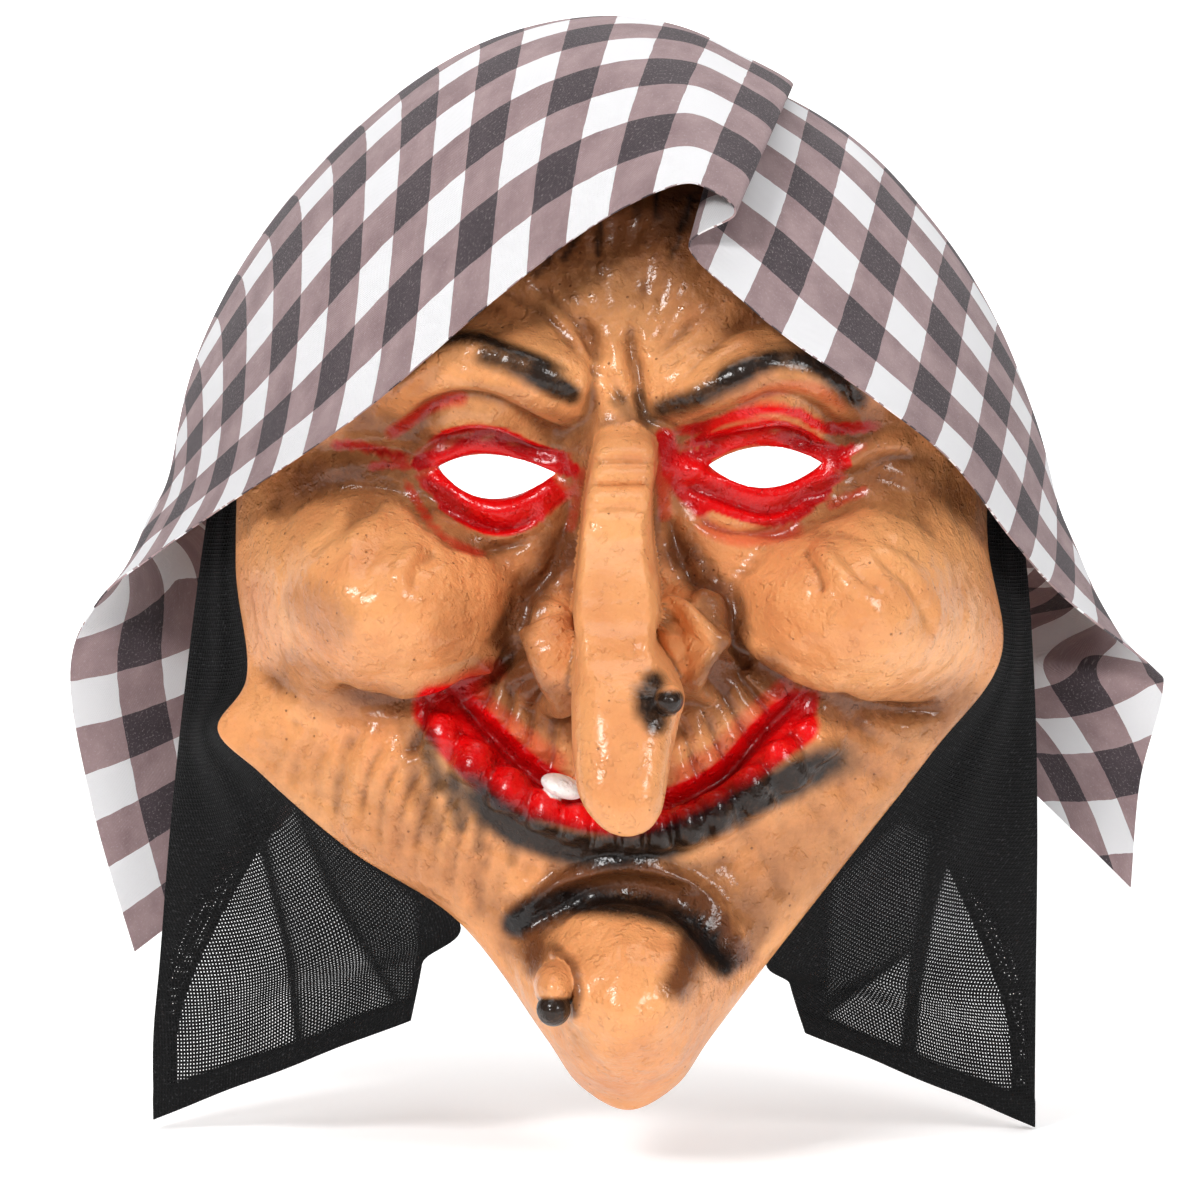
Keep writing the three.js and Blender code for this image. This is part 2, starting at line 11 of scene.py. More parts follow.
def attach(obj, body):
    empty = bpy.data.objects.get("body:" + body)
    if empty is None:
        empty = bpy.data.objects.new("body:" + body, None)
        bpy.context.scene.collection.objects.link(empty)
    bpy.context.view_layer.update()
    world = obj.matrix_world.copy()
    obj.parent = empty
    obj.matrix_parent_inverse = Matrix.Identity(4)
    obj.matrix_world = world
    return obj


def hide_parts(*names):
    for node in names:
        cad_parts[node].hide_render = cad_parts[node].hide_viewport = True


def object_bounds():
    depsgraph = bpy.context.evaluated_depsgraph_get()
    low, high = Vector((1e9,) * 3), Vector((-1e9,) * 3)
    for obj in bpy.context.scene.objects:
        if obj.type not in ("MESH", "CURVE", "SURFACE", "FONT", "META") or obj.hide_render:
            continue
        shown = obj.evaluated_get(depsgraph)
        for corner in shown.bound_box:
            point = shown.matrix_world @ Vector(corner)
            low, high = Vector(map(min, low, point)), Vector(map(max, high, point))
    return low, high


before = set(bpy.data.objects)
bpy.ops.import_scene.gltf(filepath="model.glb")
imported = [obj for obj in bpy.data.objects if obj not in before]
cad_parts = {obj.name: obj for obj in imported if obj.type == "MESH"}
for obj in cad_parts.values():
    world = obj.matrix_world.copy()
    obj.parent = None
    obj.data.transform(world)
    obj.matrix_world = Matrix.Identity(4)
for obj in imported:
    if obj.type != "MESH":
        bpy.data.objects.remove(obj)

CAD_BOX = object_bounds()
MM = 0.001
TINY = 1e-9


def table(columns, rows):
    """Rows of a table, each with its values under the names of the columns"""
    names = columns.split()
    return [dict(zip(names, row)) for row in rows]


# Camera: a long lens a little above the face
CAMERA = {"distance": 1400, "elevation": 4, "lens": 168, "sensor": 36}
CAMERA_TARGET = np.array([-7.0, 0.0, -32.25])
CAMERA_RISE = math.radians(CAMERA["elevation"])
CAMERA_WAY = np.array([0.0, -math.cos(CAMERA_RISE), math.sin(CAMERA_RISE)])
CAMERA_SPOT = CAMERA_TARGET + CAMERA["distance"] * CAMERA_WAY

# Face: outline from the front, from the chin tip up the right side and down the left side
FACE_OUTLINE = table("at x z", [
    ("chin tip", 0, -159),
    ("chin round right", 12, -153),
    ("chin right", 20.5, -141.5),
    ("jaw right", 50, -105),
    ("jaw corner right", 77, -72),
    ("cheek right", 95, -48),
    ("ear right", 92, -20),
    ("temple right", 91, 25),
    ("forehead right", 70, 66),
    ("hairline right", 37, 90),
    ("crown", -3, 104),
    ("hairline left", -42, 93),
    ("forehead left", -74, 70),
    ("temple left", -96, 25),
    ("ear left", -100, -24),
    ("cheek left", -97, -54),
    ("flap left", -104, -66),
    ("jaw corner left", -93, -77),
    ("jaw left", -70, -96),
    ("chin corner left", -43, -113),
    ("chin left", -20.5, -141.5),
    ("chin round left", -12, -153),
])
FACE_CENTRE = np.array([0.0, -34.0])
FACE_WALL = 2
# The rim lies in a plane: its y at the height of the eyes and how far it leans back for each step up
RIM_AT_EYES = 35
RIM_LEAN = 0.3
FACE_DEPTH = table("z y", [
    (107, 36),
    (80, 10),
    (55, -4),
    (30, -11),
    (0, -9),
    (-40, -8),
    (-75, -11),
    (-100, -15),
    (-130, -20),
    (-159, -22),
])
FACE_CURVE_RADIUS = 240
EDGE_ROLL = 34
SPOKES_PER_POINT = 23
FACE_RINGS = 140
INNER_RINGS = 34
CREASE_MARGIN = 3.5
RING_CROWDING = 1.25
# Shares of the way to the rim over which relief fades out, and the inner wall's extra clearance
RIM_FADE = {"outer": 0.06, "inner": 0.2}
INNER_CLEARANCE = 0.8
LUMPS = table("size height", [(11, 0.9), (5, 0.45), (2.6, 0.2)])
NOSE_LUMPS = table("size height", [(8, 0.45), (3, 0.15)])
# Evening of the finished mesh: at the seams of nose and warts, all over, and for telling hollows
SEAM_EVENING = {"reach": 2.5, "weight": 0.6, "rounds": 10}
LAST_EVENING = {"weight": 0.35, "rounds": 2}
RECESS_WEIGHT = 0.6
SHARP_ANGLE = {"face": 88, "cloth": 60}
# Material slots of the face: its front, the nose and warts that are joined to it, and its back
FRONT_SLOT, NOSE_SLOT, BACK_SLOT = range(3)

# Rounded swellings of the face: centre, radii, the turn of the long axis and the softness of the join
SWELLINGS = table("at x y z rx ry rz turn join", [
    ("cheek left", -60, 4, -33, 38, 36, 29, -8, 5),
    ("cheek right", 57, 4, -34, 37, 36, 29, 8, 5),
    ("brow left", -32, -6, 24, 38, 16, 15, -6, 6),
    ("brow right", 31, -6, 23, 37, 16, 15, 8, 6),
    ("nostril left", -18, -8, -45, 12, 15, 15, 10, 4),
    ("nostril right", 15, -8, -43, 12, 15, 15, -10, 4),
    ("bridge", -1, -4, 4, 16, 15, 18, 0, 8),
    ("chin", 1, -14, -131, 33, 35, 30, 0, 4),
])
SWELLING_POWER = 2.1
# Step to each side over which the front is evened out
EVENING = 1.2
LIP = {"lowest": -90, "bow": 0.0098, "half_width": 8, "height": 6, "reach": 58}
EYE_SOCKET = {"x": 33, "z": 0, "rx": 19, "rz": 9, "depth": 9}
# How far lumps are calmed at the eyes, and how far round them
EYE_CALM = {"share": 0.85, "reach": 1.6}
EYE_HOLES = table("at inner outer top bottom", [
    ("left", (-18, -0.5), (-47.5, 1), (-36, 8), (-36, -14)),
    ("right", (20, 1.5), (48.5, 2), (34, 10.5), (34, -10)),
])
EYE_STEPS = 24
EYE_CUT_DEPTH = 60

# Nose: level sections from the bridge to the hooked tip; square is how square a section's corners are
NOSE = table("z x front back half square", [
    (12, -1, -16, 2, 5.5, 3),
    (9, -1, -22, 0, 7.2, 3.4),
    (5.3, -1, -27, 0, 7.8, 5),
    (-6.7, -2.6, -34, 0, 8.3, 6),
    (-16.3, -2.9, -41, 0, 9, 7),
    (-28.5, -2.7, -50, 0, 10.4, 7.5),
    (-33.6, -3.2, -53.5, 0, 10.3, 7),
    (-40.1, -3, -58.5, 0, 9.7, 6),
    (-47, -1.2, -63.5, -5, 12, 4.2),
    (-52, -0.2, -67.5, -16, 13.7, 3.8),
    (-57.7, -0.9, -70.3, -26, 13, 3.5),
    (-64.9, -1.6, -72.7, -38, 12, 3.2),
    (-73.6, -1.8, -75, -50, 10.6, 3),
    (-78, -1.2, -75.2, -56, 9, 2.8),
    (-81.5, -0.7, -74, -61, 6.4, 2.6),
    (-83.4, -0.6, -72, -65, 3.8, 2.4),
    (-83.9, -0.6, -70.5, -67, 1.2, 2.2),
])
NOSE_SIDES = 88
NOSE_ROWS = 110
NOSE_HOLLOW = {"top": 2, "bottom": -70, "back": 8, "wall": 2.6, "sides": 24, "rows": 24}

# Warts and tooth: centre, radii and the turn of the long axis
BUMPS = table("at x y z rx ry rz turn", [
    ("nose wart", 9.3, -68.5, -51.2, 3.7, 6, 3.7, 0),
    ("chin wart", -18, -35, -124.3, 5.3, 12, 5.8, 0),
    ("chin wart tip", -18.3, -44, -129, 4.2, 5, 4.2, 0),
    ("tooth", -16.3, -20, -77, 5.6, 7, 2.8, -20),
])
BUMP_SIDES = 40
BUMP_ROWS = 24

# Rolls stand out of the face by their height and creases cut into it by a negative one. Paths are x and z
# on the front plane, as the camera sees them; width is to one side of the path. Ends taper over a share of
# the path's length.
PATH_STEPS = 6
TAPER = {"face": 0.16, "nose": 0.05, "least": 0.1}
EYE_RELIEF = table("at width height path", [
    ("upper lid left", 2.8, 2.7,
     [(-52, 2), (-45.5, 4.5), (-38.5, 6.5), (-31.5, 5.8), (-24.5, 3.5), (-14, 0.5)]),
    ("lid crease left", 1.9, -1.7, [(-50, 6), (-44, 9.4), (-38, 10.4), (-31, 9.2), (-24, 6.2), (-17, 3.8)]),
    ("second roll left", 3.2, 2.3, [(-49, 9), (-45, 12), (-38, 13.6), (-32, 13), (-26, 10), (-18, 6.4)]),
    ("brow crease left", 3.5, -2.9,
     [(-56, 11), (-48, 16), (-41, 17.6), (-35, 17), (-29, 14.4), (-24, 11.6), (-18, 9), (-13.5, 9)]),
    ("lower lid left", 3.7, 4.2,
     [(-52, 2), (-46.5, -3.5), (-40.5, -8), (-32.5, -10.6), (-25.5, -9.4), (-19.5, -5.4), (-14, -1)]),
    ("lower crease left", 2, -2,
     [(-47.5, -7), (-43, -11), (-37.5, -13.6), (-31.5, -14.2), (-25, -12.4), (-20.5, -9)]),
    ("thin roll left", 1.7, 1.5,
     [(-45, -10.2), (-39.5, -13.8), (-33, -16), (-27, -15), (-21.5, -11.6), (-18.5, -8)]),
    ("bag crease left", 2.2, -2.2,
     [(-92, -14), (-80, -6.5), (-71, -3.8), (-62, -3.5), (-55.5, -6.5), (-50, -13), (-42.5, -18),
      (-33, -19.5), (-22, -16.5)]),
    ("corner crease left", 1.9, -2.2, [(-80, 5), (-67, 5.2), (-58, 5.2), (-51, 2.2)]),
    ("upper lid right", 2.8, 2.7, [(13, 2.2), (19, 4), (28.5, 7.6), (37, 8), (43, 5.6), (52, 2.5)]),
    ("lid crease right", 1.9, -1.7, [(17, 6.4), (27, 9.8), (34, 10.4), (40.5, 9.2), (46, 6.6)]),
    ("second roll right", 3.4, 1.7, [(16, 8), (25.5, 11), (33, 13.4), (40, 14), (46, 11.5), (51, 7.5)]),
    ("brow crease right", 3.8, -2.2,
     [(13, 9.5), (21, 12), (28, 15), (34.5, 17.8), (40.5, 18), (46, 15.5), (52, 10.5), (58, 9)]),
    ("lower lid right", 3.7, 4.2,
     [(9, 2.5), (19.5, -1.8), (28, -5.6), (35, -7), (41.5, -5.6), (48.5, -1), (54, 2)]),
    ("lower crease right", 2.1, -1.5, [(13, -3), (20, -5.8), (28, -9), (35, -10), (42, -8.4), (48, -4)]),
    ("thin roll right", 1.7, 1.5,
     [(10, -1.5), (17, -6), (25.5, -10), (34.5, -12), (42, -10.2), (48.5, -5.5)]),
    ("bag crease right", 2.1, -2,
     [(16, -10), (22, -14), (30, -15.5), (38, -15), (44, -13.5), (49.5, -10.5), (54.5, -6.5), (61, -3)]),
])
FACE_RELIEF = table("at width height path", [
    ("brow hair bed left", 4, 1.4, [(-56, 23), (-47, 31), (-38, 32), (-28, 28), (-20, 23.5), (-13, 19.5)]),
    ("brow hair bed right", 4, 1.4, [(9, 16), (17, 18.5), (26, 24), (36, 28), (45, 27.6), (54, 21)]),
    ("corner fold right", 2.6, 2.2, [(52, 1.5), (57, 3.5), (61, 5.8), (72, 7)]),
    ("corner crease right", 2.2, -1.2, [(54, -2.5), (60, 0.5), (68, 2.5), (78, 2)]),
    ("crow's foot right middle", 2.2, -1.4, [(49, -11.5), (57, -8.5), (65, -8.5), (72, -11.5), (80, -17)]),
    ("crow's foot right lower", 1.8, -1.5, [(43, -15.5), (51.5, -15), (60, -16), (69, -19), (76, -24.5)]),
    ("brow end left", 3.2, -3, [(-12, 40), (-9, 33), (-7.8, 25), (-8.5, 18), (-11, 12), (-17.5, 8)]),
    ("brow end right", 3, -3, [(1, 38), (1.2, 31), (2.2, 24.5), (3, 18), (5.5, 13), (13, 10)]),
    ("frown left", 1.8, -1.4, [(-9, 27), (-5, 23.5), (-2.5, 19.8), (0, 17)]),
    ("frown ridge", 2, 1.4, [(-4, 34), (-2.5, 27), (-1.5, 21)]),
    ("forehead left low", 1.8, -1.5, [(-34, 46), (-24, 40.7), (-16, 34.2), (-8.5, 26)]),
    ("forehead left middle", 1.8, -1.4, [(-26, 48), (-17, 41), (-10, 33.5), (-4, 26)]),
    ("forehead right low", 1.8, -1.4, [(36, 38), (29.5, 36.7), (22, 32.2), (13.5, 24.7)]),
    ("cheek crease left", 3.2, -4.2,
     [(-24, -30), (-28, -42), (-33, -49.5), (-43, -55), (-51.5, -58), (-58.5, -59), (-66, -58),
      (-76, -54)]),
    ("cheek edge left", 3.4, 1.6, [(-26, -37), (-32, -45), (-40, -50.5), (-50, -53.8), (-62, -54.5)]),
    ("cheek crease right", 3.2, -4.2,
     [(22.5, -32), (27, -43), (31.5, -48.5), (37.5, -53), (44.5, -56.5), (53, -58.5), (61, -60.5),
      (70, -61), (82, -59)]),
    ("cheek edge right", 3.4, 1.6, [(25, -37), (30, -44), (36, -48.5), (44, -52.5), (56, -55.5)]),
    ("cheek dent left outer", 2.8, -1.6, [(-80, -22), (-76, -17), (-71, -13.5), (-67, -10), (-60.5, -7.5)]),
    ("cheek dent left middle", 3, -1.2, [(-68, -26), (-66, -23.5), (-63, -20), (-58, -15.5)]),
    ("cheek dent left inner", 3.2, -1.4, [(-54, -30), (-53, -27), (-51, -23), (-47, -19)]),
    ("cheek ridge left outer", 2.6, 1, [(-70, -19), (-66, -15), (-60, -11)]),
    ("cheek ridge left inner", 3, 1.4, [(-58, -28), (-56.5, -24), (-53, -18)]),
    ("cheek knob left", 4, 1, [(-47, -26), (-44, -23), (-38, -22)]),
    ("cheek dent right inner", 2.5, -1.6, [(43, -18), (46.5, -24), (48.5, -31)]),
    ("cheek dent right middle", 2.5, -1.4, [(52, -20), (58, -26), (64, -30)]),
    ("cheek dent right outer", 2.5, -1.4, [(62, -20), (70, -27), (74, -35), (76, -41)]),
    ("cheek ridge right", 3, 1.2, [(46, -18), (52, -24), (57, -31)]),
    ("nose side left", 2.8, -2.2, [(-14, -6), (-17, -17), (-20, -26), (-27, -32)]),
    ("nose side right", 2.8, -2.2, [(10, -10), (13, -20), (16, -27), (23, -31)]),
    ("wing left", 6.5, 6, [(-21, -37.5), (-18.5, -44), (-16, -51), (-13.5, -58)]),
    ("wing rim left", 2.2, 1.8,
     [(-14.5, -40), (-17, -35.5), (-21, -34), (-24.5, -36.5), (-25, -40), (-22, -45.5), (-19.5, -52),
      (-15, -60)]),
    ("wing rim right", 2.4, 4,
     [(7.5, -41), (9, -36), (12.5, -34.5), (16.8, -38.5), (20.5, -43.5), (17.8, -49), (15, -56)]),
    ("wing dish right", 4, -1.6, [(11.5, -39), (13.5, -43), (14, -49)]),
    ("wing lobe right", 2.8, 3, [(15.5, -31.5), (20.5, -33), (23.8, -38.5), (22, -45)]),
    ("nostril hole left", 4, -3, [(-27, -45), (-24, -51), (-20, -57)]),
    ("nostril hole right", 3.8, -3, [(25, -46), (22, -50), (19.5, -55)]),
])
MOUTH_RELIEF = table("at width height path", [
    ("mouth line", 2.8, -4,
     [(-50, -56.5), (-44, -56.5), (-38.5, -61.5), (-30, -69.8), (-22, -77), (-7, -83), (9, -83),
      (17, -80.5), (25, -75.5), (31, -69), (37.5, -62), (44, -57.5), (51, -57.5)]),
    ("lip seam", 0.8, 1.2, [(-43.5, -55.5), (-37, -62), (-30, -69), (-24, -74)]),
    ("lower lip", 5.6, 2.6,
     [(-48, -62), (-42, -68), (-34.5, -76), (-25, -83.5), (-14.5, -88), (-2, -90), (10.5, -89),
      (20.5, -84.5), (29, -78.5), (37, -71), (46, -63.5)]),
    ("mouth end left", 2.5, -2.6, [(-49, -57.5), (-51.5, -64), (-55, -72)]),
    ("mouth end right", 2.5, -1.6, [(50, -58), (57, -63.5), (66, -70)]),
    ("chin arch lip", 2.8, 2.8,
     [(-29, -117), (-22, -107.5), (-15.5, -103), (-9, -100), (-1.5, -98.5), (6, -99.5), (13.5, -102.5),
      (20.5, -108.5), (26, -115.5), (29.5, -125)]),
    ("chin arch crease", 5, -4.2,
     [(-27, -116), (-21, -110.5), (-15.5, -107.5), (-9, -105.5), (-1.5, -104.5), (5.5, -105.5),
      (13, -108.5), (18.5, -113.5), (23, -119.5), (25.5, -127)]),
    ("chin wart ring", 2, 2, [(-20, -120), (-14.5, -124), (-12, -130), (-12, -136), (-14, -140.5)]),
    ("chin wart ditch", 1.8, -1.4, [(-16, -123), (-13.8, -128), (-13.5, -134)]),
])
# Lobes of the lips: rounded folds from an upper to a lower end
LOWER_LOBE_HEIGHT = 3.4
LOBE_CREASE = {"width": 1.4, "height": -0.8, "reach": 13}
LOWER_LOBES = table("top bottom width", [
    ((-46, -60.5), (-48, -69), 5.2),
    ((-37, -68), (-40.5, -78), 5.9),
    ((-28, -75.5), (-31, -85.5), 5.5),
    ((-20, -80.5), (-21, -90.5), 4.8),
    ((-12.5, -84.5), (-12.5, -93), 4.3),
    ((-5.5, -87), (-5.5, -95), 3.9),
    ((1, -87.5), (1, -95.5), 3.8),
    ((7.4, -87), (7.8, -95), 3.9),
    ((14, -85), (15.5, -94), 4.3),
    ((21.5, -81.5), (24, -92), 5),
    ((29.5, -75.5), (33.5, -86.5), 5.5),
    ((37, -68.5), (42, -80), 5.5),
    ((44, -62), (50, -72.5), 5.2),
])
UPPER_LOBE_HEIGHT = 2.4
UPPER_LOBES = table("top bottom width", [
    ((-34, -47.5), (-38, -57), 3.4),
    ((-29, -50), (-33.5, -63.5), 3.6),
    ((-24.5, -53), (-28, -68.5), 3.6),
    ((-19.5, -56), (-22, -72.5), 3.6),
    ((-15, -61), (-16, -77), 3.4),
    ((11, -66), (14.5, -80.5), 3.6),
    ((15, -57.5), (21, -76.5), 3.9),
    ((18.5, -53), (27.5, -71), 3.9),
    ((24, -51), (33, -64.5), 3.6),
    ((29, -48.5), (38.5, -58.5), 3.4),
])
# Families of fine wrinkles that pass evenly from a first path to a last one
WRINKLE_FANS = table("at count width height first last", [
    ("forehead left", 6, 2, -0.72, [(-44, 48), (-30, 43), (-12, 27)], [(-10, 64), (-7.5, 50), (-4, 36)]),
    ("forehead right", 6, 2, -0.72, [(6, 66), (4.5, 50), (3, 37)], [(40, 33), (26, 30), (9, 22)]),
    ("hairline", 8, 2, -0.96, [(-22, 62), (-15, 53)], [(22, 64), (13, 54)]),
    ("jaw pleats left", 7, 3, 1.6,
     [(-62, -63), (-67, -74), (-69, -84), (-67, -97)],
     [(-37, -84), (-39.5, -92), (-41.5, -100), (-42, -112)]),
    ("jaw pleats left, between", 6, 1.8, -0.8,
     [(-59, -67), (-64.5, -76), (-66.5, -86), (-65, -99)],
     [(-39, -83), (-41.5, -91), (-43.5, -99), (-44, -111)]),
    ("jaw left", 4, 3, -0.8, [(-68, -64), (-73, -76), (-74, -91)], [(-82, -62), (-88, -70), (-90, -76)]),
    ("jaw left front", 4, 2.6, -0.8,
     [(-34, -92), (-36, -100), (-38, -112)],
     [(-18, -99), (-22, -104), (-28, -110)]),
    ("jaw right", 8, 2.6, -0.7, [(22, -96), (28, -103), (32, -114)], [(74, -64), (80, -69), (85, -71)]),
    ("crow's feet left", 5, 2, -0.8, [(-54, 9), (-62, 10), (-72, 10)], [(-54, -9), (-64, -9), (-82, -15)]),
    ("crow's feet right", 7, 2.2, -0.6, [(54, 6), (62, 10), (72, 11)], [(50, -16), (60, -24), (68, -36)]),
    ("under eye right", 4, 2, -0.56, [(16, -11), (30, -17), (46, -15)], [(15, -20), (30, -25), (46, -22)]),
    ("nose side left", 4, 2, -0.8,
     [(-12.5, -8), (-14.5, -17), (-17, -26)],
     [(-20, -12), (-23, -20), (-28, -29)]),
    ("nose side right", 4, 2, -0.8, [(9, -10), (11.5, -18), (14, -26)], [(15, -14), (19, -21), (24, -29)]),
    ("brow hairs left outer", 7, 0.9, 0.9, [(-58, 18), (-55, 24)], [(-41, 30.5), (-37, 35)]),
    ("brow hairs left inner", 10, 0.9, 0.9, [(-40, 29), (-35, 34)], [(-17, 17.5), (-11, 23)]),
    ("brow hairs right inner", 8, 0.9, 0.9, [(10, 13.5), (6, 18)], [(31, 23), (27, 28)]),
    ("brow hairs right outer", 9, 0.9, 0.9, [(33, 24), (30, 29)], [(56, 15), (53, 23)]),
])
NOSE_RELIEF = table("at width height path", [
    ("bridge roll 1", 3.3, 2.2, [(-12, 5.6), (-1.5, 6), (9, 5.6)]),
    ("bridge roll 2", 2.7, 2, [(-13, -0.9), (-2, -0.7), (9, -0.9)]),
    ("bridge roll 3", 2.9, 1.9, [(-13, -6.8), (-2, -6.6), (9, -6.8)]),
    ("bridge crease 1", 1.4, -1.1, [(-12, 2.1), (-2, 2.3), (9, 2.1)]),
    ("bridge crease 2", 1.4, -1.1, [(-13, -3.8), (-2, -3.6), (9, -3.8)]),
    ("bridge crease 3", 1.4, -1.1, [(-13, -9.8), (-2, -9.6), (9, -9.8)]),
    ("right bevel", 4.4, -3, [(7, -12), (6.8, -19), (8.2, -26), (9.4, -35)]),
    ("blade dent 1", 4.5, -1, [(-11, -16), (-3, -18), (3, -16)]),
    ("blade dent 2", 4.5, -1.2, [(-10, -47), (-1, -47.5), (5, -46)]),
    ("blade ridge", 3, 0.8, [(-12, -41), (-3, -42.5), (6, -40.5)]),
    ("blade edge left", 2.4, 0.6, [(-11.5, -14), (-13, -32), (-12, -44), (-13.5, -60)]),
    ("blade edge right", 2.6, 0.9, [(3, -17), (4.5, -30), (7, -38), (6, -47), (4.5, -52)]),
])

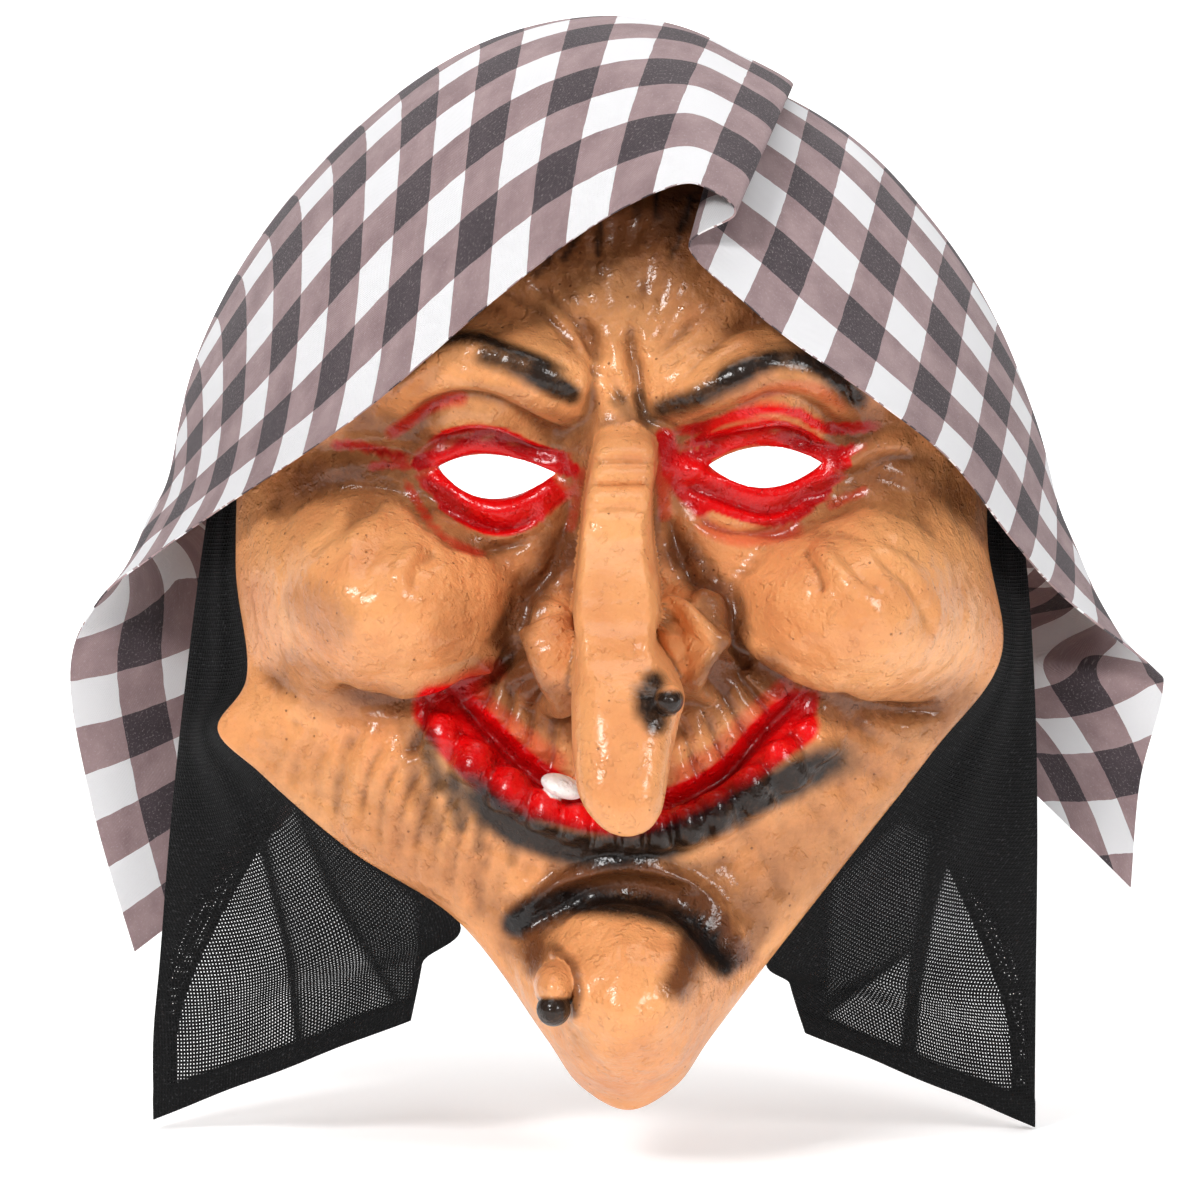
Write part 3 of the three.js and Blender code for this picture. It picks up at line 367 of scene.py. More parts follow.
# Paint and painted shade: soft strokes of one colour, as wide to each side as their width, on the face, the
# nose or both;
# fade is the share of a stroke's length over which its ends fade out
PAINT = table("at colour on width soft strength fade path", [
    ("upper lid left", "red", "face", 1.4, 0.8, 1, 0,
     [(-52, 2), (-45.5, 4), (-39, 6), (-33, 5.8), (-25, 3.4), (-14, 0.4)]),
    ("lid crease left", "red", "face", 0.7, 0.8, 1, 0.16,
     [(-51, 6), (-44, 9.8), (-38, 10.7), (-31, 9.5), (-24, 6.4), (-17, 4), (-12, 3.5)]),
    ("lid tint left", "red", "face", 0.6, 2, 0.4, 0,
     [(-52, 4), (-45, 8), (-38, 9), (-31, 8), (-24, 5), (-16, 2)]),
    ("lower lid left", "red", "face", 3.6, 0.9, 1, 0.16,
     [(-52.5, 3), (-46.5, -3), (-40.5, -7.2), (-32.5, -9.8), (-25.5, -8.6), (-19.5, -4.8), (-14, -0.4)]),
    ("thin roll left", "red", "face", 1, 0.9, 0.95, 0,
     [(-46, -8.4), (-39.5, -12.8), (-33, -14.8), (-27, -14), (-21.5, -10.6), (-18, -6)]),
    ("bag line left", "red", "face", 0.4, 1.5, 0.5, 0.16,
     [(-57, 0), (-53, -7), (-48.5, -14), (-42, -19), (-33, -21.5)]),
    ("corner left upper", "red", "face", 0.5, 1.4, 0.75, 0.16,
     [(-76, 6.5), (-68, 6.5), (-60, 4.5), (-53, 3)]),
    ("corner left lower", "red", "face", 0.4, 1.4, 0.6, 0.16, [(-66, 1), (-59, 1.6), (-53, 1)]),
    ("brow fold left", "red", "face", 0.5, 2.2, 0.7, 0.16,
     [(-62, 8), (-56, 11.5), (-50, 15.5), (-44, 18), (-38, 18)]),
    ("beside nose left", "red", "both", 0.4, 2.4, 0.34, 0.16,
     [(-11, 3), (-12.5, -3), (-13.5, -10), (-15, -17)]),
    ("upper lid right", "red", "face", 1.5, 0.8, 1, 0,
     [(12, 2), (19, 4), (27, 7.4), (35, 8.2), (42.5, 6.2), (54, 2.2)]),
    ("lid crease right", "red", "face", 0.8, 0.9, 1, 0.16,
     [(11, 5.2), (20, 8.2), (30, 11), (38, 11.4), (45, 8.6), (52, 5), (62, 7)]),
    ("second roll right", "red", "face", 0.8, 1.1, 0.95, 0.16,
     [(8.5, 10), (18, 10.8), (28, 14.4), (35.4, 15.4), (42.5, 14.4), (48, 11.2), (56, 10.8), (66, 12)]),
    ("second roll tint right", "red", "face", 0.4, 2, 0.16, 0,
     [(16, 9), (26, 12.5), (36, 13.4), (46, 9.6)]),
    ("lower lid right", "red", "face", 3.5, 0.9, 1, 0.16,
     [(9.5, 3), (19.5, -1.2), (28, -4.8), (35, -6.2), (41.5, -4.8), (48.5, -0.4), (56, 2.6)]),
    ("thin roll right", "red", "face", 1.4, 1, 1, 0,
     [(10.5, 0), (17, -5.8), (25.5, -9.6), (34.5, -11.8), (42, -10), (49, -4.6)]),
    ("inner corner right", "red", "face", 1.2, 2.4, 0.95, 0, [(9, 8), (11, 2), (13.5, -4), (18, -9)]),
    ("brow fold right", "red", "face", 0.4, 3.4, 0.32, 0.16,
     [(24, 14), (31, 18), (38, 20.6), (46, 20.6), (52, 17.5), (57, 13)]),
    ("under eye right", "red", "face", 0.5, 3.4, 0.45, 0.16,
     [(15, -11), (21.5, -15), (28, -17), (37, -16), (46.5, -13.5)]),
    ("corner right", "red", "face", 0.5, 1.6, 0.45, 0.16, [(48.5, -9.5), (54, -7), (61, -4)]),
    ("beside nose right", "red", "both", 0.6, 2.4, 0.5, 0.16, [(8, 4), (9, -6), (9.5, -14)]),
    ("mouth line", "red", "face", 1.8, 2.6, 1, 0,
     [(-49, -57.5), (-44, -57), (-38.5, -61), (-31, -68.5), (-22, -76), (-7, -83), (9, -82.5), (17, -80),
      (25, -75), (31, -68), (37.5, -61.5), (42, -58.5), (44.5, -58)]),
    ("upper lip fold ends left", "red", "face", 0.5, 5, 0.45, 0,
     [(-40, -54), (-34, -60), (-27, -66), (-18, -73)]),
    ("upper lip fold ends right", "red", "face", 0.5, 5, 0.45, 0,
     [(14, -76), (22, -71), (30, -63), (39, -55)]),
    ("lower lip", "red", "face", 3, 3.6, 1, 0,
     [(-49, -60), (-42, -66), (-34, -74), (-25, -81), (-14.5, -85), (-2, -87), (10.5, -85.5), (20.5, -81),
      (29, -75), (36, -69), (43, -64)]),
    ("lower lip left", "red", "face", 2.4, 3, 1, 0, [(-47, -65), (-40, -73), (-33, -79.5), (-26, -84.5)]),
    ("cheek edge left", "red", "face", 0.5, 6, 0.4, 0, [(-34, -50), (-42, -54), (-50, -56)]),
    ("lip band", "black", "face", 1.4, 6.6, 1, 0.16,
     [(-49, -66), (-40, -79), (-30, -87.5), (-17, -93), (-4, -94.7), (6.7, -93), (17, -89), (26.5, -84.2),
      (35.5, -79.6), (45, -75), (54, -71.7), (62, -69.7), (68, -68)]),
    ("lip band core", "black", "face", 1.5, 3.6, 0.9, 0.16,
     [(-40, -80.5), (-31, -88.5), (-18, -94.3), (-4, -96), (6.7, -94.3), (17, -90.5), (26.5, -85.6),
      (35.5, -81), (45, -76.2), (53, -73)]),
    ("lip smear left 1", "black", "face", 0.5, 3.4, 0.75, 0, [(-50, -66), (-49.5, -72), (-47.5, -79)]),
    ("lip smear left 2", "black", "face", 0.4, 3.2, 0.7, 0, [(-44, -77), (-43.5, -83), (-42, -89)]),
    ("lip smear left 3", "black", "face", 0.3, 2.6, 0.5, 0, [(-36.5, -85), (-37, -90), (-37.5, -95)]),
    ("lip smear left 4", "black", "face", 0.3, 2.4, 0.4, 0, [(-28, -90), (-28.5, -95), (-29, -98)]),
    ("lip smear left edge", "brown", "face", 0.5, 5, 0.5, 0, [(-54, -66), (-53, -76), (-49, -88)]),
    ("eyebrow left upper", "black", "face", 0.4, 2.6, 0.95, 0.16,
     [(-60, 19), (-53, 27.5), (-45, 33), (-37, 33.4), (-29.5, 30.5), (-22, 27.5), (-16, 24.4),
      (-12.5, 21.5)]),
    ("eyebrow left lower", "black", "face", 0.6, 4.4, 0.9, 0.16,
     [(-40, 30.5), (-31, 27.5), (-23, 23.5), (-17, 20), (-14, 18)]),
    ("eyebrow left end", "black", "face", 1, 3, 1, 0, [(-23, 24.5), (-18, 21.5), (-14, 19)]),
    ("eyebrow right inner", "black", "face", 0.8, 4, 0.95, 0,
     [(8.5, 15.5), (16.5, 18), (23, 21.5), (28.5, 25)]),
    ("eyebrow right outer", "black", "face", 0.9, 4, 1, 0,
     [(25, 23.5), (36.5, 28), (44.5, 27.6), (51, 24), (57, 18)]),
    ("frown smudge left", "black", "face", 0.7, 3, 0.6, 0, [(-2.5, 17.5), (0, 15.5), (1.5, 13)]),
    ("frown smudge right", "black", "face", 0.6, 2, 0.7, 0, [(2.5, 19), (3.5, 15.5), (5.5, 12.5)]),
    ("hair mark 1", "black", "face", 0.3, 1.1, 0.8, 0, [(-7, 62), (-7.5, 54)]),
    ("hair mark 2", "black", "face", 0.3, 1.1, 0.8, 0, [(7, 71), (7.3, 63)]),
    ("hair mark 3", "black", "face", 0.4, 1.2, 0.8, 0, [(16, 68), (13, 60)]),
    ("hair mark 4", "black", "face", 0.3, 1.1, 0.7, 0, [(2, 69), (2.4, 63)]),
    ("hair mark 5", "black", "face", 0.4, 1.2, 0.8, 0, [(-12, 60), (-16, 53)]),
    ("hair mark 6", "black", "face", 0.3, 1, 0.7, 0, [(13, 58), (10.5, 53)]),
    ("hair mark 7", "black", "face", 0.4, 1.2, 0.7, 0, [(-19, 54), (-23, 49)]),
    ("chin arch", "black", "face", 1.7, 4, 1, 0,
     [(-28, -113.5), (-22, -110), (-15.5, -108), (-9, -108), (-2, -108.5), (5, -109.5), (13, -112.5),
      (18.5, -116), (22, -120.5), (24, -124)]),
    # Painted shade in the crease under the chin's arched lip
    ("chin arch hollow", "brown", "face", 3, 3.4, 0.9, 0,
     [(-26, -113), (-15.5, -104.5), (-9, -102.5), (-1.5, -101.5), (5.5, -102.5), (13, -105.5),
      (19.5, -111), (26, -121)]),
    ("chin smudge", "brown", "face", 0.4, 7.4, 0.95, 0, [(16, -119), (14.5, -125), (12.5, -129)]),
    ("chin smudge core", "black", "face", 0.2, 5, 0.4, 0, [(17, -117), (15.5, -122)]),
    # Painted shadow beside the chin wart
    ("chin wart ring", "brown", "face", 0.5, 2.2, 0.7, 0,
     [(-18, -120.5), (-14, -124.5), (-12.8, -130), (-13.4, -136)]),
    ("chin wart smudge", "brown", "face", 0.5, 4, 0.8, 0, [(-23, -119), (-24, -125)]),
    ("nose wart smudge", "black", "nose", 1.2, 4, 0.95, 0, [(6.5, -53), (4.5, -58), (7, -63)]),
    # The brown in the eye hollows and bags, at the right temple under the scarf, beside the nostrils, above
    # the lip, under the cheeks and on the jaw is the wash together with painted shade
    ("eye hollow left", "brown", "face", 3, 5, 0.38, 0,
     [(-52, 10), (-40, 17), (-28, 14), (-16, 8), (-12, 2), (-14, -10), (-17, -20)]),
    ("eye bag left", "brown", "face", 2.4, 4, 0.4, 0,
     [(-80, -1), (-66, -0.5), (-56, -3), (-48, -10), (-40, -15.5), (-30, -18), (-20, -13)]),
    ("eye hollow right", "brown", "face", 3, 5, 0.3, 0,
     [(57, 8), (46, 18), (34, 19), (22, 14), (12, 8), (9, -6), (12, -18)]),
    ("temple right", "brown", "face", 3, 7, 0.35, 0, [(56, 3), (66, 1), (78, -4), (86, -12)]),
    ("nostril fold left", "brown", "face", 2, 5, 0.75, 0, [(-17, -20), (-24, -31), (-29, -42), (-27, -52)]),
    ("nostril fold right", "brown", "face", 2, 5, 0.75, 0, [(13, -20), (21, -31), (26, -42), (24, -50)]),
    ("upper lip shade", "brown", "face", 4, 6, 0.6, 0,
     [(-34, -54), (-24, -58), (-14, -62), (2, -64), (14, -60), (24, -54), (33, -52)]),
    ("cheek blotch left", "brown", "face", 2, 9, 0.35, 0, [(-80, -33), (-74, -38)]),
    ("cheek blotch inner left", "brown", "face", 2, 8, 0.32, 0, [(-42, -35), (-44, -42)]),
    ("cheek underside left", "brown", "face", 2, 8, 0.45, 0,
     [(-38, -52), (-52, -58), (-68, -58), (-84, -50)]),
    ("cheek underside right", "brown", "face", 2, 8, 0.4, 0, [(34, -52), (48, -58), (66, -61), (82, -59)]),
    # Painted shade: the sides of the jaw darker towards the bottom
    ("jaw left", "brown", "face", 4, 16, 0.3, 0, [(-88, -76), (-70, -86), (-50, -102)]),
    ("jaw right", "brown", "face", 4, 18, 0.34, 0, [(84, -62), (66, -80), (46, -100)]),
])
# The brown wash and painted shade that darken hollows: rounds of evening, the depth it fills at and how
# strong it is
RECESS_SCALES = table("rounds depth strength", [
    (20, 0.9, 0.55),
    (120, 2, 0.6),
])
# On the nose the wash and painted shade in hollows are only this strong
NOSE_WASH_AND_SHADE = 0.4
# Strokes on the nose reach this far back from its front, and fade out over as much again
NOSE_PAINT_DEPTH = 5
# The forehead's brown grows stronger upwards and is paint together with the painted shadow of the scarf
FOREHEAD_WASH_AND_SHADOW = {"low": 18, "high": 66, "least": 0.08, "most": 0.97, "edge": 8, "edge_width": 14}
TOOTH_PAINT = {"x": -16.3, "z": -79, "reach": 7, "deepest": -40}
# Warts are black from a height on the wart downwards, no deeper than a y
WART_EDGE = 0.6
WART_PAINT = table("at x z radius top soft deepest", [
    ("nose wart", 9.9, -57.4, 4.4, -55, 2, -63),
    ("chin wart tip", -18.6, -135.8, 6, -132.4, 1.6, -36),
])

# Scarf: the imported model's sections from the left tail over the crown to the right tail
HEAD_FORM = {"centre": (0, 60, 0), "radii": (113, 98, 111), "fullness": 1.8}
SCARF = table("front back stand", [
    ((-129, 62, -129), (-92, 118, -92), 1.55),
    ((-140, 66, -92), (-96, 125, -60), 1.44),
    ((-146, 68, -56), (-97, 132, -30), 1.36),
    ((-137, 55, -36), (-95, 138, -8), 1.25),
    ((-121, 34, -23), (-88, 143, 5), 1.14),
    ((-104, 12, -11), (-78, 147, 13), 1.06),
    ((-66, -22, 15), (-58, 150, 20), 1.03),
    ((-33, -24, 43), (-38, 152, 23), 1.025),
    ((-9, -18, 61), (-20, 153, 25), 1.05),
    ((11, -16, 71), (-4, 154, 25), 1.02),
    ((20, -19, 70), (6, 155, 26), 0.985),
    ((26, -22, 64), (14, 156, 26), 0.97),
    ((15, -13, 56), (8, 151, 25), 0.95),
    ((29, -21, 42), (18, 151, 25), 0.945),
    ((40, -24, 33), (32, 151, 24), 0.93),
    ((60, -22, 19), (50, 150, 20), 0.93),
    ((80, -8, 3), (66, 147, 14), 0.95),
    ((97, 12, -18), (80, 143, 6), 1.01),
    ((112, 34, -34), (90, 138, -8), 1.13),
    ((137, 62, -54), (98, 132, -30), 1.27),
    ((141, 72, -62), (100, 128, -45), 1.34),
    ((135, 70, -85), (98, 122, -65), 1.38),
    ((132, 62, -112), (94, 116, -82), 1.45),
])
SCARF_STEPS = 14
SCARF_ROWS = 100
SCARF_THICKNESS = 0.5
PLEAT_ROW = 11
TAILS = table("at inwards forwards lift none_row full_row tip_row turn", [
    ("left", 20, 22, 14, 4.2, 2, 0, 0),
    ("right", -20, 22, 22, 18.4, 20, 22, 38),
])
CHECK = 12.5
WEAVE = 0.42

# Drapes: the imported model's rows, from the top to the hem
DRAPE_COLUMNS = ("inner_z", "sewn", "inner_x", "inner_y", "outer_x", "outer_y", "outer_z", "rear")
DRAPES = [
    {"name": "drape_left", "side": -1, "rows": [
        (18, 1, -97, 41, -103, 45, 18, 30),
        (-20, 1, -99, 30, -109, 42, -20, 36),
        (-55, 1, -97, 19, -114, 42, -58, 40),
        (-85, 1, -83, 10, -118, 43, -94, 30),
        (-109, 1, -50, 3, -121, 45, -128, 12),
        (-125, 0, -52, 8, -123, 46, -150, 6),
        (-140, 0, -55, 12, -123, 47, -171, 6),
    ]},
    {"name": "drape_right", "side": 1, "rows": [
        (18, 1, 90, 41, 95, 45, 18, 30),
        (-20, 1, 91, 30, 102, 42, -20, 36),
        (-55, 1, 91, 19, 105, 42, -58, 40),
        (-85, 1, 66, 10, 106, 43, -94, 30),
        (-118, 1, 39, 1, 106, 45, -132, 12),
        (-130, 0, 41, 6, 106, 46, -153, 6),
        (-143, 0, 45, 11, 106, 47, -173, 6),
    ]},
]
DRAPE_ROWS = 90
DRAPE_FRONT = 100
DRAPE_REAR = 40
DRAPE_THICKNESS = 0.12
DRAPE_GAP = 0.35
DRAPE_TURN_RADIUS = 3
DRAPE_FOLDS = {"count": 2, "depth": 1.6, "at_top": 0.2}
HEMS = {"bottom": 7, "side": 2.4, "fold": 0.9, "soft": 0.4, "more_layers": 3}
# Where the net hangs in one layer and light comes through: outlines as seen in the photo and how open it is
NET_ZONES = table("at open soft outline", [
    ("left, outside the fold", 1, 1.2,
     [(-95.5, -85), (-115, -121), (-115, -154), (-83.5, -144), (-86, -121), (-91, -100)]),
    ("left, inside the fold", 0.75, 3,
     [(-93, -77), (-86, -80), (-79, -96), (-74.5, -107), (-65, -123), (-57, -137), (-81.5, -143),
      (-84, -121), (-89, -100)]),
    ("left, doubled", 0.4, 2, [(-81, -86.5), (-72.5, -106.5), (-57, -134), (-52.5, -128.5), (-53, -108)]),
    ("right, outside the fold", 1, 1.6,
     [(86.5, -103), (95.5, -118), (99.5, -128), (100.5, -158), (72.5, -147), (73.5, -131), (77, -110),
      (80.5, -98)]),
    ("right, inside the fold", 0.8, 1.2, [(71, -121), (50, -137), (68.5, -146), (70, -132)]),
    ("right, doubled", 0.4, 3, [(50.75, -104), (68.75, -87), (75.75, -92), (72, -119), (50, -132.5)]),
])
NET = {"pitch": 0.95, "thread": 0.6}

# Materials: screen colours, each value from 0 to 255
COLOURS = {
    "skin": (236, 166, 107),
    "skin patches": (219, 145, 91),
    "blush": (190, 112, 68),
    "pores": (110, 58, 30),
    # Brown paint also serves as painted shade in hollows, on the jaw and under the scarf
    "brown paint and painted shade": (84, 38, 12),
    "red paint": (222, 6, 10),
    # Red in hollows is painted shade: red paint turned darker in creases
    "red in hollows": (96, 2, 6),
    "black paint": (9, 7, 7),
    "tooth": (250, 248, 244),
    "white check": (251, 250, 252),
    "grey check": (182, 156, 157),
    "grey check, darker": (150, 124, 126),
    "dark check": (84, 72, 77),
    "dark check, darker": (66, 56, 61),
    "worn cloth": (214, 200, 200),
    "net": (3, 3, 4),
    "net glint": (74, 73, 75),
    "floor": (250, 250, 250),
}
# Noise in the materials: how fine it is, its layers of finer noise and how strong those are, and the range
# of it that is used and moved to another range
NOISES = table("at scale detail roughness low high to_low to_high", [
    ("skin patches", 28, 3, 0.5, 0.35, 0.68, 0, 1),
    ("blush", 60, 4, 0.6, 0.5, 0.8, 0, 0.45),
    ("gloss", 120, 3, 0.5, 0.3, 0.7, 0.34, 0.5),
    ("broken paint", 260, 4, 0.65, 0.25, 0.75, -0.14, 0.14),
    ("grain", 620, 3, 0.6, 0, 1, 0, 1),
    ("dents", 200, 3, 0.6, 0, 1, 0, 1),
    ("flecks", 380, 2, 0.5, 0.58, 0.7, 0, 1),
    ("check wobble", 160, 2, 0.5, 0, 1, -0.0004, 0.0004),
    ("check fading", 90, 4, 0.6, 0.3, 0.7, 0, 1),
    ("worn cloth", 1500, 2, 0.7, 0.56, 0.75, 0, 0.4),
    ("cloth creases", 55, 3, 0.5, 0, 1, 0, 1),
    ("net wobble", 500, 2, 0.5, 0, 1, -0.00016, 0.00016),
    ("net slack", 70, 3, 0.5, 0.3, 0.7, 0.94, 1.06),
    ("net glint", 1100, 2, 0.7, 0.55, 0.78, 0, 1),
])
# Paint on the skin: how far noise breaks its edges, the amounts between which it covers and how fully
PAINT_COVER = table("paint broken low high most", [
    ("brown", 0.8, 0.1, 0.88, 0.9),
    ("red", 0.35, 0.14, 0.8, 1),
    ("black", 0.6, 0.08, 0.98, 0.98),
])
# How far red paint turns to its painted shade in creases and hollows
RED_IN_HOLLOWS = 0.9
RED_ROUGHNESS = -0.1
PORES = {"scale": 420, "least": 0.86, "inner": 0.06, "outer": 0.17, "strength": 0.6}
SKIN_RELIEF = {"dents": 2.6, "flecks": 0.9, "pores": -1.2, "depth": 0.5, "strength": 0.8, "wax": 0.2}
SCARF_RELIEF = {"creases": 6, "depth": 0.3, "strength": 0.6}
NET_RELIEF = {"depth": 0.3, "strength": 0.7}
# The mix node's sockets for colours
MIX = {"amount": 0, "below": 6, "above": 7, "result": 2}

# Stage
FLOOR_DROP = 0.6
FLOOR = {
    "width": 10000, "middle": -420, "behind": 3020, "in_front": 2600,
    "height": 5200, "bend": 1000, "steps": 40,
}
# How strongly the floor shines: near the mask and far from it, and the y where that starts and ends
FLOOR_GLOW = {"near": 0.3, "far": 1, "starts": 700, "ends": 2400}
FRONT_GLOW = {"near": 0.9, "far": 0.9, "starts": -4000, "ends": -420}
# Lamps: place and aim in millimetres, size in millimetres and power in watts
LAMPS = table("name place aim size power", [
    ("key", (-800, -1250, 850), (0, 0, -30), 420, 19),
    ("fill", (900, -1200, 450), (0, 0, -40), 420, 10),
    ("top", (0, 200, 1300), (0, 60, -100), 1400, 15),
])
WORLD_LIGHT = 0.06


def screen_colour(name):
    """Linear values of a named screen colour"""
    values = np.array(COLOURS[name]) / 255
    linear = np.where(values <= 0.04045, values / 12.92, ((values + 0.055) / 1.055) ** 2.4)
    return (*linear.tolist(), 1.0)


def smooth(value):
    """Smooth step from 0 to 1"""
    t = np.clip(value, 0, 1)
    return t * t * (3 - 2 * t)


def cubic(start, rise, leave, arrive, t):
    """Cubic with given slopes at both ends"""
    return start + t * (leave + t * (3 * rise - 2 * leave - arrive + t * (leave + arrive - 2 * rise)))


def column_at(values, position):
    """Cubic through a table's column at row numbers that may have a fraction"""
    values = np.asarray(values, float)
    last = len(values) - 1
    low = np.clip(np.floor(position).astype(int), 0, last - 1)

    def at(index):
        return values[np.clip(index, 0, last)]

    leave = (at(low + 1) - at(low - 1)) / 2
    arrive = (at(low + 2) - at(low)) / 2
    t = position - low
    if values.ndim > 1:
        t = t[..., None]
    return cubic(at(low), at(low + 1) - at(low), leave, arrive, t)


def falling_row(values, wanted):
    """Row numbers, with fractions, at which a falling column reaches the wanted values"""
    values = np.asarray(values, float)
    return np.interp(-np.asarray(wanted, float), -values, np.arange(len(values)))


def curve_through(points, steps, closed=False):
    """Centripetal curve through points, with as many steps between each two"""
    points = np.asarray(points, float)
    if closed:
        around = np.vstack([points[-1:], points, points[:2]])
    else:
        around = np.vstack([2 * points[0] - points[1], points, 2 * points[-1] - points[-2]])
    before, start, ahead, after = around[:-3], around[1:-2], around[2:-1], around[3:]
    gaps = np.sqrt(np.linalg.norm(np.diff(around, axis=0), axis=1))[:, None]
    d0, d1, d2 = gaps[:-2], gaps[1:-1], gaps[2:]
    leave = ((start - before) / d0 - (ahead - before) / (d0 + d1) + (ahead - start) / d1) * d1
    arrive = ((ahead - start) / d1 - (after - start) / (d1 + d2) + (after - ahead) / d2) * d1
    t = (np.arange(steps) / steps)[None, :, None]
    made = cubic(start[:, None], (ahead - start)[:, None], leave[:, None], arrive[:, None], t)
    made = made.reshape(-1, points.shape[1])
    return made if closed else np.vstack([made, points[-1:]])


def unit(vectors):
    """Vectors of length 1 that point the same way"""
    return vectors / np.maximum(np.linalg.norm(vectors, axis=-1, keepdims=True), TINY)


def seen(points):
    """Where the camera sees points, as x and z on the upright plane through the origin"""
    share = CAMERA_SPOT[1] / (CAMERA_SPOT[1] - points[..., 1])
    return (CAMERA_SPOT + (points - CAMERA_SPOT) * share[..., None])[..., [0, 2]]


def near_path(places, path, reach):
    """Places within reach of a path, how far they are from it and the share of its length there"""
    line = curve_through(path, PATH_STEPS)
    low = line.min(axis=0) - reach
    high = line.max(axis=0) + reach
    near = np.flatnonzero(np.all((places > low) & (places < high), axis=1))
    step = np.diff(line, axis=0)
    length = np.linalg.norm(step, axis=1)
    run = np.concatenate([[0], np.cumsum(length)])
    offset = places[near][:, None, :] - line[None, :-1]
    share = np.clip((offset * step).sum(axis=2) / length**2, 0, 1)
    gap = np.linalg.norm(offset - share[..., None] * step, axis=2)
    best = gap.argmin(axis=1)
    rows = np.arange(len(near))
    position = (run[best] + share[rows, best] * length[best]) / run[-1]
    return near, gap[rows, best], position


def inside(places, outline, soft):
    """1 inside an outline and 0 outside, with a soft edge"""
    within = np.zeros(places.shape[:-1], bool)
    apart = np.full(places.shape[:-1], np.inf)
    for start, end in zip(np.array(outline, float), np.roll(outline, -1, axis=0)):
        way = end - start
        offset = places - start
        share = np.clip((offset @ way) / (way @ way), 0, 1)
        apart = np.minimum(apart, np.linalg.norm(offset - share[..., None] * way, axis=-1))
        crosses = (start[1] > places[..., 1]) != (end[1] > places[..., 1])
        height = np.where(crosses, (places[..., 1] - start[1]) / np.where(way[1] == 0, 1, way[1]), 0)
        within ^= crosses & (places[..., 0] < start[0] + height * way[0])
    return smooth(0.5 + np.where(within, apart, -apart) / soft)


def relief_at(places, strokes, taper=TAPER["face"]):
    """Height of rolls and depth of creases at places"""
    height = np.zeros(len(places))
    for stroke in strokes:
        near, gap, position = near_path(places, stroke["path"], stroke["width"])
        share = np.clip(1 - gap / stroke["width"], 0, 1)
        shape = 1 - (1 - share) ** 2 if stroke["height"] > 0 else smooth(share)
        ends = smooth(np.minimum(position, 1 - position) / taper + TAPER["least"])
        height[near] += stroke["height"] * shape * ends
    return height


def paint_at(places, colour, on):
    """How much of a paint lies at places"""
    amount = np.zeros(len(places))
    for stroke in PAINT:
        if stroke["colour"] != colour or stroke["on"] not in (on, "both"):
            continue
        near, gap, position = near_path(places, stroke["path"], stroke["width"] + stroke["soft"])
        cover = stroke["strength"] * smooth(1 - (gap - stroke["width"]) / stroke["soft"])
        if stroke["fade"]:
            cover = cover * smooth(np.minimum(position, 1 - position) / stroke["fade"])
        amount[near] = 1 - (1 - amount[near]) * (1 - cover)
    return amount


def lumps(points, rows):
    """Soft even noise at points, with lumps of the sizes and heights of a table"""
    return sum(
        row["height"] * np.array([noise.noise(Vector(point) / row["size"]) for point in points.tolist()])
        for row in rows
    )


def grid_quads(rows, columns, closed=False):
    """Quads between the rows of a grid; a closed grid joins its last column to its first"""
    index = np.arange(rows * columns).reshape(rows, columns)
    if closed:
        index = np.hstack([index, index[:, :1]])
    corners = [index[:-1, :-1], index[1:, :-1], index[1:, 1:], index[:-1, 1:]]
    return np.stack([corner.ravel() for corner in corners], axis=1)


def capped_faces(rows, columns):
    """Faces of a closed tube of points, with a lid at each end"""
    last = (rows - 1) * columns
    lids = [list(range(columns)), list(range(last + columns - 1, last - 1, -1))]
    return grid_quads(rows, columns, closed=True).tolist() + lids


def split_quads(points, quads):
    """Triangles of quads, each split along its shorter diagonal, which follows the rolls and creases"""
    corners = points[quads]
    first = np.linalg.norm(corners[:, 0] - corners[:, 2], axis=1)
    second = np.linalg.norm(corners[:, 1] - corners[:, 3], axis=1)
    turned = np.where((first <= second)[:, None], quads, np.roll(quads, -1, axis=1))
    return np.vstack([turned[:, [0, 1, 2]], turned[:, [0, 2, 3]]])


def mesh_object(name, points, faces, face_slots=None, materials=()):
    """Object from points in millimetres and faces"""
    mesh = bpy.data.meshes.new(name)
    mesh.from_pydata((np.asarray(points) * MM).tolist(), [], faces)
    for material in materials:
        mesh.materials.append(material)
    if face_slots is not None:
        mesh.polygons.foreach_set("material_index", face_slots)
    mesh.update()
    made = bpy.data.objects.new(name, mesh)
    bpy.context.collection.objects.link(made)
    return made


def swelling_front(row, x, z):
    """Front of a rounded hill"""
    turn = math.radians(row["turn"])
    dx = x - row["x"]
    dz = z - row["z"]
    lengthways = (dx * math.cos(turn) + dz * math.sin(turn)) / row["rx"]
    across = (dz * math.cos(turn) - dx * math.sin(turn)) / row["rz"]
    return row["y"] - row["ry"] * (1 - np.hypot(lengthways, across) ** SWELLING_POWER)


def eye_share(x, z, reach=1):
    """How near places are to an eye, from 0 to 1"""
    up = (z - EYE_SOCKET["z"]) / (reach * EYE_SOCKET["rz"])
    across = [(x - side * EYE_SOCKET["x"]) / (reach * EYE_SOCKET["rx"]) for side in (-1, 1)]
    return sum(np.exp(-step * step - up * up) for step in across)


